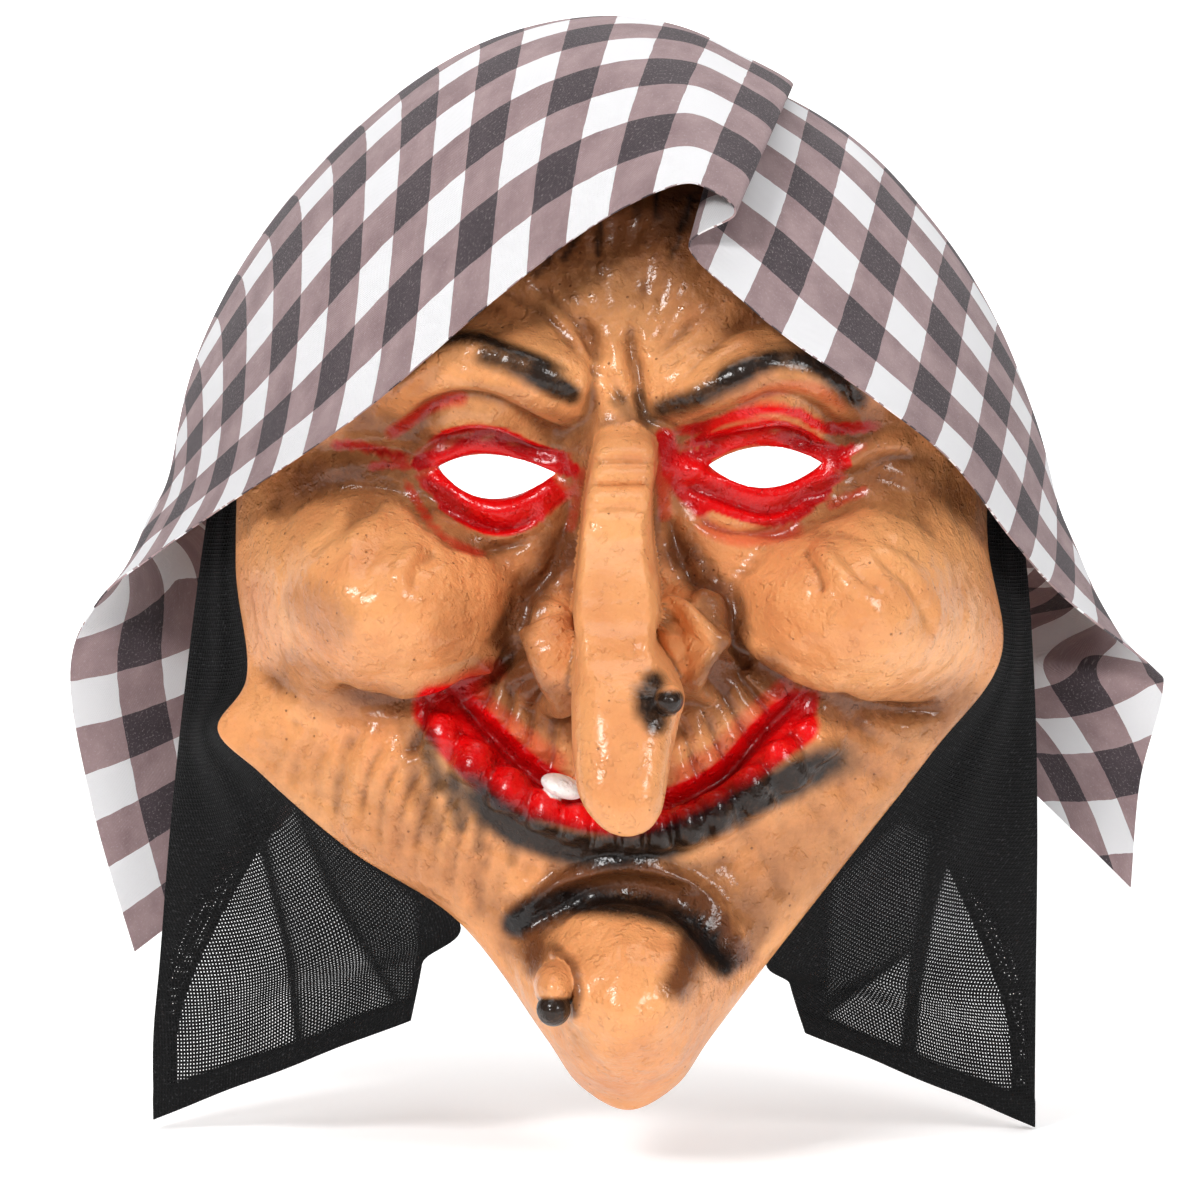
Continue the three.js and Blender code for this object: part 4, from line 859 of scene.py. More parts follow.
def feature_front(x, z):
    """Front of the face with its swellings, lip and eye hollows"""
    depth_row = falling_row([row["z"] for row in FACE_DEPTH], z)
    front = column_at([row["y"] for row in FACE_DEPTH], depth_row) + x * x / (2 * FACE_CURVE_RADIUS)
    for row in SWELLINGS:
        hill = swelling_front(row, x, z)
        join = np.maximum(row["join"] - np.abs(front - hill), 0) / row["join"]
        front = np.minimum(front, hill) - join * join * row["join"] / 4
    lip = (z - LIP["lowest"] - LIP["bow"] * x * x) / LIP["half_width"]
    front -= LIP["height"] * np.exp(-lip * lip) * np.maximum(0, 1 - (x / LIP["reach"]) ** 4)
    return front + EYE_SOCKET["depth"] * eye_share(x, z)


def even_front(x, z):
    """The same, evened out over a small distance"""
    steps = (-EVENING, 0, EVENING)
    return sum(feature_front(x + dx, z + dz) for dx in steps for dz in steps) / len(steps) ** 2


def face_edge():
    """The face's outline as x and z, with as many steps as spokes"""
    return curve_through([(row["x"], row["z"]) for row in FACE_OUTLINE], SPOKES_PER_POINT, closed=True)


def face_points(rings):
    """Smooth face points on rings of the outline, as an array of rings by spokes by three"""
    spokes = face_edge() - FACE_CENTRE
    places = FACE_CENTRE + rings[:, None, None] * spokes[None]
    x, z = places[..., 0], places[..., 1]
    from_edge = (1 - rings)[:, None] * np.linalg.norm(spokes, axis=1)[None]
    dome = np.sqrt(1 - (1 - np.minimum(from_edge / EDGE_ROLL, 1)) ** 2)
    rim = RIM_AT_EYES + RIM_LEAN * z
    return np.stack([x, rim + (even_front(x, z) - rim) * dome, z], axis=2)


def polar_normals(points):
    """Outward normals of a face grid"""
    outward = np.gradient(points, axis=0)
    round_about = np.roll(points, -1, axis=1) - np.roll(points, 1, axis=1)
    return unit(np.cross(outward, round_about))


def ring_shares(count):
    """Rings from the middle to the rim, closer together near the rim"""
    return 1 - (1 - np.arange(1, count + 1) / count) ** RING_CROWDING


def face_strokes():
    """All rolls and creases of the face"""
    lobes = [
        {"width": row["width"], "height": height, "path": [row["top"], row["bottom"]]}
        for height, rows in ((LOWER_LOBE_HEIGHT, LOWER_LOBES), (UPPER_LOBE_HEIGHT, UPPER_LOBES))
        for row in rows
    ]
    for rows in (LOWER_LOBES, UPPER_LOBES):
        for here, ahead in zip(rows, rows[1:]):
            ends = [np.array([here[end], ahead[end]], float) for end in ("top", "bottom")]
            if np.linalg.norm(ends[0][1] - ends[0][0]) < LOBE_CREASE["reach"]:
                lobes.append({**LOBE_CREASE, "path": [end.mean(axis=0) for end in ends]})
    wrinkles = []
    for fan in WRINKLE_FANS:
        first = np.array(fan["first"], float)
        last = np.array(fan["last"], float)
        for share in np.linspace(0, 1, fan["count"]):
            wrinkles.append({**fan, "path": first + (last - first) * share})
    return EYE_RELIEF + FACE_RELIEF + MOUTH_RELIEF + lobes + wrinkles


def face_wall(materials):
    """Hollow face: a detailed outer surface and a plain inner one that meet at the rim"""
    outer = face_points(ring_shares(FACE_RINGS))
    normals = polar_normals(outer)
    flat = outer.reshape(-1, 3)
    fade = np.repeat(smooth((1 - ring_shares(FACE_RINGS)) / RIM_FADE["outer"]), outer.shape[1])
    height = relief_at(seen(flat), face_strokes())
    calm = 1 - EYE_CALM["share"] * eye_share(flat[:, 0], flat[:, 2], EYE_CALM["reach"])
    height += calm * lumps(flat, LUMPS)
    flat = flat + normals.reshape(-1, 3) * (height * fade)[:, None]
    inner = face_points(ring_shares(INNER_RINGS))
    inner_normals = polar_normals(inner)
    wide_creases = [
        {**stroke, "width": stroke["width"] + CREASE_MARGIN}
        for stroke in face_strokes()
        if stroke["height"] < 0
    ]
    creases = relief_at(seen(inner.reshape(-1, 3)), wide_creases).reshape(inner.shape[:2])
    from_rim = smooth((1 - ring_shares(INNER_RINGS)) / RIM_FADE["inner"])[:, None]
    deeper = FACE_WALL + from_rim * (INNER_CLEARANCE - creases)
    inner = inner - inner_normals * deeper[..., None]
    inner[-1, :, 1] = RIM_AT_EYES + RIM_LEAN * inner[-1, :, 2]
    spokes = outer.shape[1]
    middle_front = flat[:spokes].mean(axis=0)
    middle_back = inner[0].mean(axis=0)
    points = np.vstack([flat, inner.reshape(-1, 3), middle_front, middle_back])
    first_inner = len(flat)
    front_pole = len(points) - 2
    back_pole = len(points) - 1
    around = np.arange(spokes)
    ahead = (around + 1) % spokes
    outer_faces = split_quads(points, grid_quads(FACE_RINGS, spokes, closed=True))
    inner_faces = grid_quads(INNER_RINGS, spokes, closed=True)[:, ::-1] + first_inner
    outer_rim = first_inner - spokes
    inner_rim = front_pole - spokes
    rim = np.stack([outer_rim + around, inner_rim + around, inner_rim + ahead, outer_rim + ahead], axis=1)
    front_fan = np.stack([np.full(spokes, front_pole), around, ahead], axis=1)
    back_fan = np.stack([np.full(spokes, back_pole), first_inner + ahead, first_inner + around], axis=1)
    groups = [
        (outer_faces, FRONT_SLOT), (front_fan, FRONT_SLOT),
        (inner_faces, BACK_SLOT), (back_fan, BACK_SLOT), (rim, BACK_SLOT),
    ]
    faces = [face for group, _ in groups for face in group.tolist()]
    slots = [slot for group, slot in groups for _ in group]
    return mesh_object("face_shell_look", points, faces, slots, materials)


def nose_section(z):
    """Section of the nose at heights"""
    row = falling_row([row["z"] for row in NOSE], z)
    names = ("x", "front", "back", "half", "square")
    return {name: column_at([r[name] for r in NOSE], row) for name in names}


def nose_hollow_section(z):
    """Section of the hollow of the nose at heights"""
    section = nose_section(z)
    wall = NOSE_HOLLOW["wall"]
    free = section["back"] < -2 * wall
    return {
        "x": section["x"],
        "front": section["front"] + wall,
        "back": np.where(free, section["back"] - wall, NOSE_HOLLOW["back"]),
        "half": section["half"] - wall,
        "square": section["square"],
    }


def nose_loft(name, heights, sides, section_at, slot, materials, relief=False):
    """Closed loft through level rounded sections"""
    section = section_at(heights)
    angle = np.arange(sides) / sides * 2 * math.pi

    def rounded(value):
        return np.sign(value) * np.abs(value) ** (2 / section["square"][:, None])

    middle = (section["front"] + section["back"]) / 2
    x = section["x"][:, None] + section["half"][:, None] * rounded(np.cos(angle))
    y = middle[:, None] + (section["back"] - middle)[:, None] * rounded(np.sin(angle))
    points = np.stack([x, y, np.broadcast_to(heights[:, None], x.shape)], axis=2).reshape(-1, 3)
    if relief:
        height = relief_at(seen(points), NOSE_RELIEF, TAPER["nose"]) + lumps(points, NOSE_LUMPS)
        front_facing = points[:, 1] < np.repeat(middle, sides)
        points[:, 1] -= height * front_facing
    faces = capped_faces(len(heights), sides)
    return mesh_object(name, points, faces, [slot] * len(faces), materials)


def ellipsoid(row, materials):
    """Closed ball of given radii"""
    around = np.arange(BUMP_SIDES) / BUMP_SIDES * 2 * math.pi
    rise = np.linspace(0, math.pi, BUMP_ROWS + 1)[1:-1]
    ball = np.stack([
        np.sin(rise)[:, None] * np.cos(around),
        np.sin(rise)[:, None] * np.sin(around),
        np.broadcast_to(np.cos(rise)[:, None], (len(rise), BUMP_SIDES)),
    ], axis=2).reshape(-1, 3)
    points = np.vstack([ball, (0, 0, 1), (0, 0, -1)])
    points = points * (row["rx"], row["ry"], row["rz"])
    turn = math.radians(row["turn"])
    across, up = points[:, 0].copy(), points[:, 2].copy()
    points[:, 0] = across * math.cos(turn) - up * math.sin(turn) + row["x"]
    points[:, 1] += row["y"]
    points[:, 2] = across * math.sin(turn) + up * math.cos(turn) + row["z"]
    faces = grid_quads(len(rise), BUMP_SIDES, closed=True).tolist()
    top = len(ball)
    last = top - BUMP_SIDES
    for side in range(BUMP_SIDES):
        ahead = (side + 1) % BUMP_SIDES
        faces.append([top, side, ahead])
        faces.append([top + 1, last + ahead, last + side])
    return mesh_object(row["at"], points, faces, [NOSE_SLOT] * len(faces), materials)


def eye_cutter(eye, materials):
    """Lens that runs straight through the wall, along the camera's line of sight"""
    t = np.arange(EYE_STEPS) / EYE_STEPS

    def lid(start, bend, end):
        start, bend, end = np.array([start, bend, end], float)
        return (1 - t)[:, None] ** 2 * start + (2 * t * (1 - t))[:, None] * bend + t[:, None] ** 2 * end

    upper = lid(eye["inner"], eye["top"], eye["outer"])
    lower = lid(eye["outer"], eye["bottom"], eye["inner"])
    lens = np.vstack([upper, lower])
    if eye["outer"][0] > eye["inner"][0]:
        lens = lens[::-1]
    count = len(lens)
    layers = []
    for y in (-EYE_CUT_DEPTH, EYE_CUT_DEPTH):
        share = (CAMERA_SPOT[1] - y) / CAMERA_SPOT[1]
        x = CAMERA_SPOT[0] + (lens[:, 0] - CAMERA_SPOT[0]) * share
        z = CAMERA_SPOT[2] + (lens[:, 1] - CAMERA_SPOT[2]) * share
        layers.append(np.stack([x, np.full(count, float(y)), z], axis=1))
    faces = capped_faces(len(layers), count)
    slots = [FRONT_SLOT] * len(faces)
    return mesh_object(f"eye_{eye['at']}", np.vstack(layers), faces, slots, materials)


def combine(target, steps):
    """Joins pieces to the target and cuts others out of it, then removes them"""
    for tool, operation in steps:
        modifier = target.modifiers.new(tool.name, "BOOLEAN")
        modifier.operation = operation
        modifier.solver = "MANIFOLD"
        modifier.object = tool
    depsgraph = bpy.context.evaluated_depsgraph_get()
    made = bpy.data.meshes.new_from_object(target.evaluated_get(depsgraph))
    target.modifiers.clear()
    target.data = made
    for tool, _ in steps:
        bpy.data.objects.remove(tool)


def mesh_numbers(mesh):
    """Points in millimetres, edges and, for each material slot, which points lie on it"""
    points = np.empty(len(mesh.vertices) * 3)
    mesh.vertices.foreach_get("co", points)
    edges = np.empty(len(mesh.edges) * 2, int)
    mesh.edges.foreach_get("vertices", edges)
    slots = np.empty(len(mesh.polygons), int)
    mesh.polygons.foreach_get("material_index", slots)
    sizes = np.empty(len(mesh.polygons), int)
    mesh.polygons.foreach_get("loop_total", sizes)
    corners = np.empty(len(mesh.loops), int)
    mesh.loops.foreach_get("vertex_index", corners)
    of_corner = np.repeat(slots, sizes)
    on_slot = np.zeros((len(mesh.materials), len(mesh.vertices)), bool)
    for slot, touched in enumerate(on_slot):
        touched[corners[of_corner == slot]] = True
    return points.reshape(-1, 3) / MM, edges.reshape(-1, 2), on_slot


def evened(points, edges, weight, rounds):
    """Points drawn towards the middle of their neighbours, by a weight for each"""
    made = points.copy()
    first, second = edges.T
    count = np.bincount(edges.ravel(), minlength=len(points))[:, None]
    for _ in range(rounds):
        total = np.stack([
            np.bincount(first, made[second, axis], len(made))
            + np.bincount(second, made[first, axis], len(made))
            for axis in range(3)
        ], axis=1)
        made += weight[:, None] * (total / count - made)
    return made


def move_points(mesh, points):
    """Moves the points of a mesh to places in millimetres"""
    mesh.vertices.foreach_set("co", (points * MM).ravel())
    mesh.update()


def soften_seams(mesh):
    """Rounds the lines where the nose and warts meet the face"""
    reach = SEAM_EVENING["reach"]
    points, edges, on_slot = mesh_numbers(mesh)
    seam = np.flatnonzero(on_slot[FRONT_SLOT] & on_slot[NOSE_SLOT])
    tree = kdtree.KDTree(len(seam))
    for place, vertex in enumerate(seam):
        tree.insert(points[vertex], place)
    tree.balance()
    low = points[seam].min(axis=0) - reach
    high = points[seam].max(axis=0) + reach
    within = np.all((points > low) & (points < high), axis=1)
    near = np.flatnonzero(within & ~on_slot[BACK_SLOT])
    gap = np.array([tree.find(point)[2] for point in points[near].tolist()])
    weight = np.zeros(len(points))
    weight[near] = SEAM_EVENING["weight"] * smooth(1 - gap / reach)
    move_points(mesh, evened(points, edges, weight, SEAM_EVENING["rounds"]))


def soften_all(mesh):
    """Takes the teeth off steep walls by a light evening of the whole face"""
    points, edges, _ = mesh_numbers(mesh)
    weight = np.full(len(points), LAST_EVENING["weight"])
    move_points(mesh, evened(points, edges, weight, LAST_EVENING["rounds"]))


def recess_at(mesh, points, edges):
    """How deep each point lies in a crease or hollow, from 0 to 1"""
    normals = np.empty(len(points) * 3)
    mesh.vertex_normals.foreach_get("vector", normals)
    normals = normals.reshape(-1, 3)
    amount = np.zeros(len(points))
    for scale in RECESS_SCALES:
        flattened = evened(points, edges, np.full(len(points), RECESS_WEIGHT), scale["rounds"])
        depth = ((flattened - points) * normals).sum(axis=1)
        amount = np.maximum(amount, scale["strength"] * smooth(depth / scale["depth"]))
    return amount


def set_attribute(mesh, name, values):
    """A number from 0 to 1 for each point, which materials read by its name"""
    layer = mesh.attributes.new(name, "FLOAT", "POINT")
    layer.data.foreach_set("value", np.clip(values, 0, 1).astype(np.float32))


def paint_face(mesh):
    """Paint amounts of every point of the face, with painted shade in hollows and under the scarf, as
    attributes that the skin material reads
    """
    points, edges, on_slot = mesh_numbers(mesh)
    places = seen(points)
    on_nose = on_slot[NOSE_SLOT]
    behind_front = points[:, 1] - nose_section(points[:, 2])["front"]
    nose_front = smooth(2 - behind_front / NOSE_PAINT_DEPTH)
    paints = {}
    for colour in ("red", "black", "brown"):
        on_front = paint_at(places, colour, "nose") * nose_front
        paints[colour] = np.where(on_nose, on_front, paint_at(places, colour, "face"))
    # Painted shadow of the scarf with brown paint: the forehead turns browner upwards
    wash_and_shadow = FOREHEAD_WASH_AND_SHADOW
    above = places[:, 1] - wash_and_shadow["low"]
    forehead = wash_and_shadow["least"] + (wash_and_shadow["most"] - wash_and_shadow["least"]) * smooth(above / (wash_and_shadow["high"] - wash_and_shadow["low"]))
    forehead = forehead * smooth((above + wash_and_shadow["edge"]) / wash_and_shadow["edge_width"]) * ((above > 0) & ~on_nose)
    # Painted shade together with the brown wash: points deep in creases and hollows turn brown, less so on
    # the nose
    recess = recess_at(mesh, points, edges) * np.where(on_nose, NOSE_WASH_AND_SHADE, 1)
    brown = 1 - (1 - paints["brown"]) * (1 - recess) * (1 - forehead)
    for wart in WART_PAINT:
        across = np.hypot(places[:, 0] - wart["x"], places[:, 1] - wart["z"])
        cover = smooth((wart["radius"] - across) / WART_EDGE)
        cover = cover * smooth((wart["top"] - places[:, 1]) / wart["soft"] + 0.5)
        paints["black"] = np.maximum(paints["black"], cover * on_nose * (points[:, 1] < wart["deepest"]))
    tooth = np.hypot(places[:, 0] - TOOTH_PAINT["x"], places[:, 1] - TOOTH_PAINT["z"]) < TOOTH_PAINT["reach"]
    set_attribute(mesh, "red", paints["red"])
    set_attribute(mesh, "black", paints["black"])
    set_attribute(mesh, "brown", brown)
    set_attribute(mesh, "recess", recess)
    set_attribute(mesh, "white", on_nose & tooth & (points[:, 1] > TOOTH_PAINT["deepest"]))


def feed(tree, made, inputs):
    """Links or sets the inputs of a shader node"""
    for key, value in inputs.items():
        if isinstance(value, bpy.types.NodeSocket):
            tree.links.new(value, made.inputs[key])
        else:
            made.inputs[key].default_value = value


def node(tree, kind, inputs=None, **settings):
    """A shader node with its settings and its inputs"""
    made = tree.nodes.new(kind)
    for key, value in settings.items():
        setattr(made, key, value)
    feed(tree, made, inputs or {})
    return made


def mixed(tree, amount, below, above):
    """One colour laid over another"""
    inputs = {MIX["amount"]: amount, MIX["below"]: below, MIX["above"]: above}
    return node(tree, "ShaderNodeMix", inputs, data_type="RGBA").outputs[MIX["result"]]


def maths(tree, operation, first, second=0.0, third=0.0):
    """A sum on up to three numbers"""
    made = node(tree, "ShaderNodeMath", {0: first, 1: second, 2: third}, operation=operation)
    return made.outputs["Value"]


def ranged(tree, value, low, high, to_low=0.0, to_high=1.0):
    """A number moved from one range to another, kept inside it"""
    made = node(tree, "ShaderNodeMapRange", {
        "Value": value, "From Min": low, "From Max": high, "To Min": to_low, "To Max": to_high,
    })
    return made.outputs["Result"]


def attribute(tree, name):
    """The number of that name that each point carries"""
    return node(tree, "ShaderNodeAttribute", attribute_name=name).outputs["Fac"]


def new_material(name):
    """An empty material with its shader"""
    material = bpy.data.materials.new(name)
    material.use_nodes = True
    tree = material.node_tree
    tree.nodes.clear()
    shader = node(tree, "ShaderNodeBsdfPrincipled")
    output = node(tree, "ShaderNodeOutputMaterial")
    tree.links.new(shader.outputs["BSDF"], output.inputs["Surface"])
    return material, tree, shader


def noise_of(tree, place, name):
    """Soft noise, as fine and in the range that its row of the table says"""
    row = next(row for row in NOISES if row["at"] == name)
    made = node(tree, "ShaderNodeTexNoise", {
        "Vector": place, "Scale": row["scale"], "Detail": row["detail"], "Roughness": row["roughness"],
    })
    return ranged(tree, made.outputs["Fac"], row["low"], row["high"], row["to_low"], row["to_high"])


def bump(tree, height, strength, depth):
    """Fine relief by shading alone, its depth in millimetres"""
    return node(tree, "ShaderNodeBump", {
        "Height": height, "Strength": strength, "Distance": depth * MM,
    }).outputs["Normal"]


def skin_material(name, painted):
    """Waxy flesh-coloured vinyl, with airbrushed paint and painted shade on the outside"""
    material, tree, shader = new_material(name)
    place = node(tree, "ShaderNodeTexCoord").outputs["Object"]
    patches = noise_of(tree, place, "skin patches")
    colour = mixed(tree, patches, screen_colour("skin"), screen_colour("skin patches"))
    colour = mixed(tree, noise_of(tree, place, "blush"), colour, screen_colour("blush"))
    cells = node(tree, "ShaderNodeTexVoronoi", {"Vector": place, "Scale": PORES["scale"]}).outputs
    chance = node(tree, "ShaderNodeSeparateColor", {"Color": cells["Color"]}).outputs["Red"]
    spots = ranged(tree, cells["Distance"], PORES["inner"], PORES["outer"], 1, 0)
    pores = maths(tree, "MULTIPLY", spots, maths(tree, "GREATER_THAN", chance, PORES["least"]))
    colour = mixed(tree, maths(tree, "MULTIPLY", pores, PORES["strength"]), colour, screen_colour("pores"))
    rough = noise_of(tree, place, "gloss")
    if painted:
        broken = noise_of(tree, place, "broken paint")
        cover = {}
        for row in PAINT_COVER:
            amount = maths(tree, "MULTIPLY_ADD", broken, row["broken"], attribute(tree, row["paint"]))
            cover[row["paint"]] = ranged(tree, amount, row["low"], row["high"], 0, row["most"])
        # Brown: the paint, with painted shade in hollows, on the jaw and under the scarf
        colour = mixed(tree, cover["brown"], colour, screen_colour("brown paint and painted shade"))
        colour = mixed(tree, cover["red"], colour, screen_colour("red paint"))
        # Painted shade: red paint darker in creases and hollows
        shade = maths(tree, "MULTIPLY", cover["red"], attribute(tree, "recess"))
        shade = maths(tree, "MULTIPLY", shade, RED_IN_HOLLOWS)
        colour = mixed(tree, shade, colour, screen_colour("red in hollows"))
        colour = mixed(tree, cover["black"], colour, screen_colour("black paint"))
        colour = mixed(tree, attribute(tree, "white"), colour, screen_colour("tooth"))
        rough = maths(tree, "MULTIPLY_ADD", cover["red"], RED_ROUGHNESS, rough)
    height = noise_of(tree, place, "grain")
    for kind in ("dents", "flecks"):
        height = maths(tree, "MULTIPLY_ADD", noise_of(tree, place, kind), SKIN_RELIEF[kind], height)
    height = maths(tree, "MULTIPLY_ADD", pores, SKIN_RELIEF["pores"], height)
    feed(tree, shader, {
        "Base Color": colour,
        "Roughness": rough,
        "Subsurface Weight": 0.06,
        "Subsurface Radius": (1, 0.35, 0.18),
        "Subsurface Scale": 3 * MM,
        "Specular IOR Level": 0.16,
        "Coat Weight": 0.5,
        "Coat Roughness": 0.16,
        "Normal": bump(tree, height, SKIN_RELIEF["strength"], SKIN_RELIEF["depth"]),
        "Coat Normal": bump(tree, height, SKIN_RELIEF["wax"], SKIN_RELIEF["depth"]),
    })
    return material


def face_shell():
    """The vinyl face with its nose, warts, tooth and eye holes"""
    painted = skin_material("painted_vinyl", True)
    bare = skin_material("bare_vinyl", False)
    materials = [painted, painted, bare]
    face = face_wall(materials)
    heights = np.linspace(NOSE[0]["z"], NOSE[-1]["z"], NOSE_ROWS)
    nose = nose_loft("nose", heights, NOSE_SIDES, nose_section, NOSE_SLOT, materials, relief=True)
    steps = [(nose, "UNION")]
    steps += [(ellipsoid(row, materials), "UNION") for row in BUMPS]
    heights = np.linspace(NOSE_HOLLOW["top"], NOSE_HOLLOW["bottom"], NOSE_HOLLOW["rows"])
    sides = NOSE_HOLLOW["sides"]
    hollow = nose_loft("nose_hollow", heights, sides, nose_hollow_section, BACK_SLOT, materials)
    steps.append((hollow, "DIFFERENCE"))
    steps += [(eye_cutter(eye, materials), "DIFFERENCE") for eye in EYE_HOLES]
    combine(face, steps)
    for slot, material in enumerate(materials):
        face.data.materials[slot] = material
    soften_seams(face.data)
    soften_all(face.data)
    paint_face(face.data)
    face.data.shade_smooth()
    face.data.set_sharp_from_angle(angle=math.radians(SHARP_ANGLE["face"]))
    return face


def cloth_wall(name, grid, thickness, flat, material):
    """Closed cloth around a grid of points, with its flat place in metres as the map named flat"""
    rows, columns = grid.shape[:2]
    across = np.gradient(grid, axis=1)
    down = np.gradient(grid, axis=0)
    normal = unit(np.cross(across, down))
    half = np.broadcast_to(thickness, (rows, columns))[..., None] / 2
    layers = [(grid + side * half * normal).reshape(-1, 3) for side in (1, -1)]
    count = rows * columns
    front = grid_quads(rows, columns)[:, ::-1]
    back = grid_quads(rows, columns) + count
    index = np.arange(count).reshape(rows, columns)
    border = np.concatenate([index[0, :-1], index[:-1, -1], index[-1, :0:-1], index[:0:-1, 0]])
    ahead = np.roll(border, -1)
    edge = np.stack([border, border + count, ahead + count, ahead], axis=1)[:, ::-1]
    faces = np.vstack([front, back, edge])
    made = mesh_object(name, np.vstack(layers), faces.tolist(), None, [material])
    places = np.vstack([flat.reshape(-1, 2)] * 2) * MM
    corners = np.empty(len(made.data.loops), int)
    made.data.loops.foreach_get("vertex_index", corners)
    layer = made.data.uv_layers.new(name="flat")
    layer.uv.foreach_set("vector", places[corners].astype(np.float32).ravel())
    made.data.shade_smooth()
    made.data.set_sharp_from_angle(angle=math.radians(SHARP_ANGLE["cloth"]))
    return made


def run_length(grid, axis):
    """Length run along one axis of a grid, from its first row or column"""
    steps = np.linalg.norm(np.diff(grid, axis=axis), axis=2)
    start = np.zeros_like(steps[:1] if axis == 0 else steps[:, :1])
    return np.cumsum(np.concatenate([start, steps], axis=axis), axis=axis)


def head_reach(way):
    """Distance from the middle of the head form to its surface"""
    shares = (np.abs(way) / np.array(HEAD_FORM["radii"])) ** HEAD_FORM["fullness"]
    return shares.sum(axis=-1) ** (-1 / HEAD_FORM["fullness"])


def tail_weight(tail, position):
    """How far a row of the scarf's table belongs to a tail"""
    return smooth((position - tail["none_row"]) / (tail["full_row"] - tail["none_row"]))


def scarf_grid():
    """Middle of the scarf's cloth, by rows from the front edge back and columns from left to right"""
    centre = np.array(HEAD_FORM["centre"], float)
    columns = SCARF_STEPS * (len(SCARF) - 1) + 1
    position = np.linspace(0, len(SCARF) - 1, columns)
    front = column_at([row["front"] for row in SCARF], position) - centre
    back = column_at([row["back"] for row in SCARF], position) - centre
    stand = column_at([row["stand"] for row in SCARF], position)
    front_length = np.linalg.norm(front, axis=1)
    back_length = np.linalg.norm(back, axis=1)
    front_way = front / front_length[:, None]
    back_way = back / back_length[:, None]
    front_share = front_length / head_reach(front_way)
    back_share = back_length / head_reach(back_way)
    angle = np.arccos(np.clip((front_way * back_way).sum(axis=1), -1, 1))
    row = np.linspace(0, 1, SCARF_ROWS + 1)[:, None]
    way = (np.sin((1 - row) * angle) / np.sin(angle))[..., None] * front_way
    way = unit(way + (np.sin(row * angle) / np.sin(angle))[..., None] * back_way)
    share = front_share + (back_share - front_share) * row
    middle = 4 * row * (1 - row)
    share = share + middle * (stand - (front_share + back_share) / 2)
    grid = way * (head_reach(way) * share)[..., None] + centre
    for tail in TAILS:
        weight = tail_weight(tail, position)
        tip = smooth((position - tail["full_row"]) / (tail["tip_row"] - tail["full_row"]))
        grid[..., 0] += tail["inwards"] * weight * middle
        grid[..., 1] -= tail["forwards"] * weight * middle
        grid[..., 2] += tail["lift"] * tip * middle
    return grid


def scarf_material():
    """Printed cotton check with a fine weave"""
    material, tree, shader = new_material("checked_cloth")
    place = node(tree, "ShaderNodeUVMap", uv_map="flat").outputs["UV"]
    split = node(tree, "ShaderNodeSeparateXYZ", {"Vector": place})
    wobble = noise_of(tree, place, "check wobble")

    def stripe(along):
        moved = maths(tree, "ADD", along, wobble)
        share = maths(tree, "FRACT", maths(tree, "DIVIDE", moved, 2 * CHECK * MM))
        return maths(tree, "GREATER_THAN", share, 0.5)

    across = stripe(split.outputs["X"])
    down = stripe(split.outputs["Y"])
    fading = noise_of(tree, place, "check fading")
    grey = mixed(tree, fading, screen_colour("grey check"), screen_colour("grey check, darker"))
    dark = mixed(tree, fading, screen_colour("dark check"), screen_colour("dark check, darker"))
    either = maths(tree, "MAXIMUM", across, down)
    both = maths(tree, "MULTIPLY", across, down)
    colour = mixed(tree, either, screen_colour("white check"), grey)
    colour = mixed(tree, both, colour, dark)
    worn = maths(tree, "MULTIPLY", noise_of(tree, place, "worn cloth"), either)
    colour = mixed(tree, worn, colour, screen_colour("worn cloth"))
    turn = 2 * math.pi / (WEAVE * MM)
    threads = [
        maths(tree, "SINE", maths(tree, "MULTIPLY", split.outputs[axis], turn))
        for axis in ("X", "Y")
    ]
    weave = maths(tree, "MULTIPLY", threads[0], threads[1])
    creases = noise_of(tree, place, "cloth creases")
    height = maths(tree, "MULTIPLY_ADD", creases, SCARF_RELIEF["creases"], weave)
    feed(tree, shader, {
        "Base Color": colour,
        "Roughness": 0.85,
        "Sheen Weight": 0.15,
        "Specular IOR Level": 0.25,
        "Normal": bump(tree, height, SCARF_RELIEF["strength"], SCARF_RELIEF["depth"]),
    })
    return material


def scarf_flat(grid):
    """Where each point of the scarf lies on the flat cloth: along its front edge and back from it"""
    down = run_length(grid, 0)
    along = run_length(grid, 1)
    pleat = PLEAT_ROW * SCARF_STEPS
    along = along - along[:, pleat:pleat + 1]
    position = np.linspace(0, len(SCARF) - 1, grid.shape[1])
    for tail in TAILS:
        weight = tail_weight(tail, position)
        along = along + (along[:1] - along) * weight
        corner = np.interp(tail["full_row"], position, along[0])
        turn = math.radians(tail["turn"]) * weight
        away = along - corner
        along = corner + away * np.cos(turn) - down * np.sin(turn)
        down = away * np.sin(turn) + down * np.cos(turn)
    return np.stack([along, down], axis=2)


def head_scarf():
    """The checked scarf"""
    grid = scarf_grid()
    return cloth_wall("head_scarf_look", grid, SCARF_THICKNESS, scarf_flat(grid), scarf_material())


def rim_edge(side, heights):
    """Rim of the face at heights, on one side"""
    edge = face_edge()
    half = len(edge) // 2 - SPOKES_PER_POINT
    part = edge[:half] if side > 0 else np.vstack([edge[:1], edge[:-half:-1]])
    order = np.maximum.accumulate(part[:, 1])
    return np.interp(heights, order, part[:, 0])


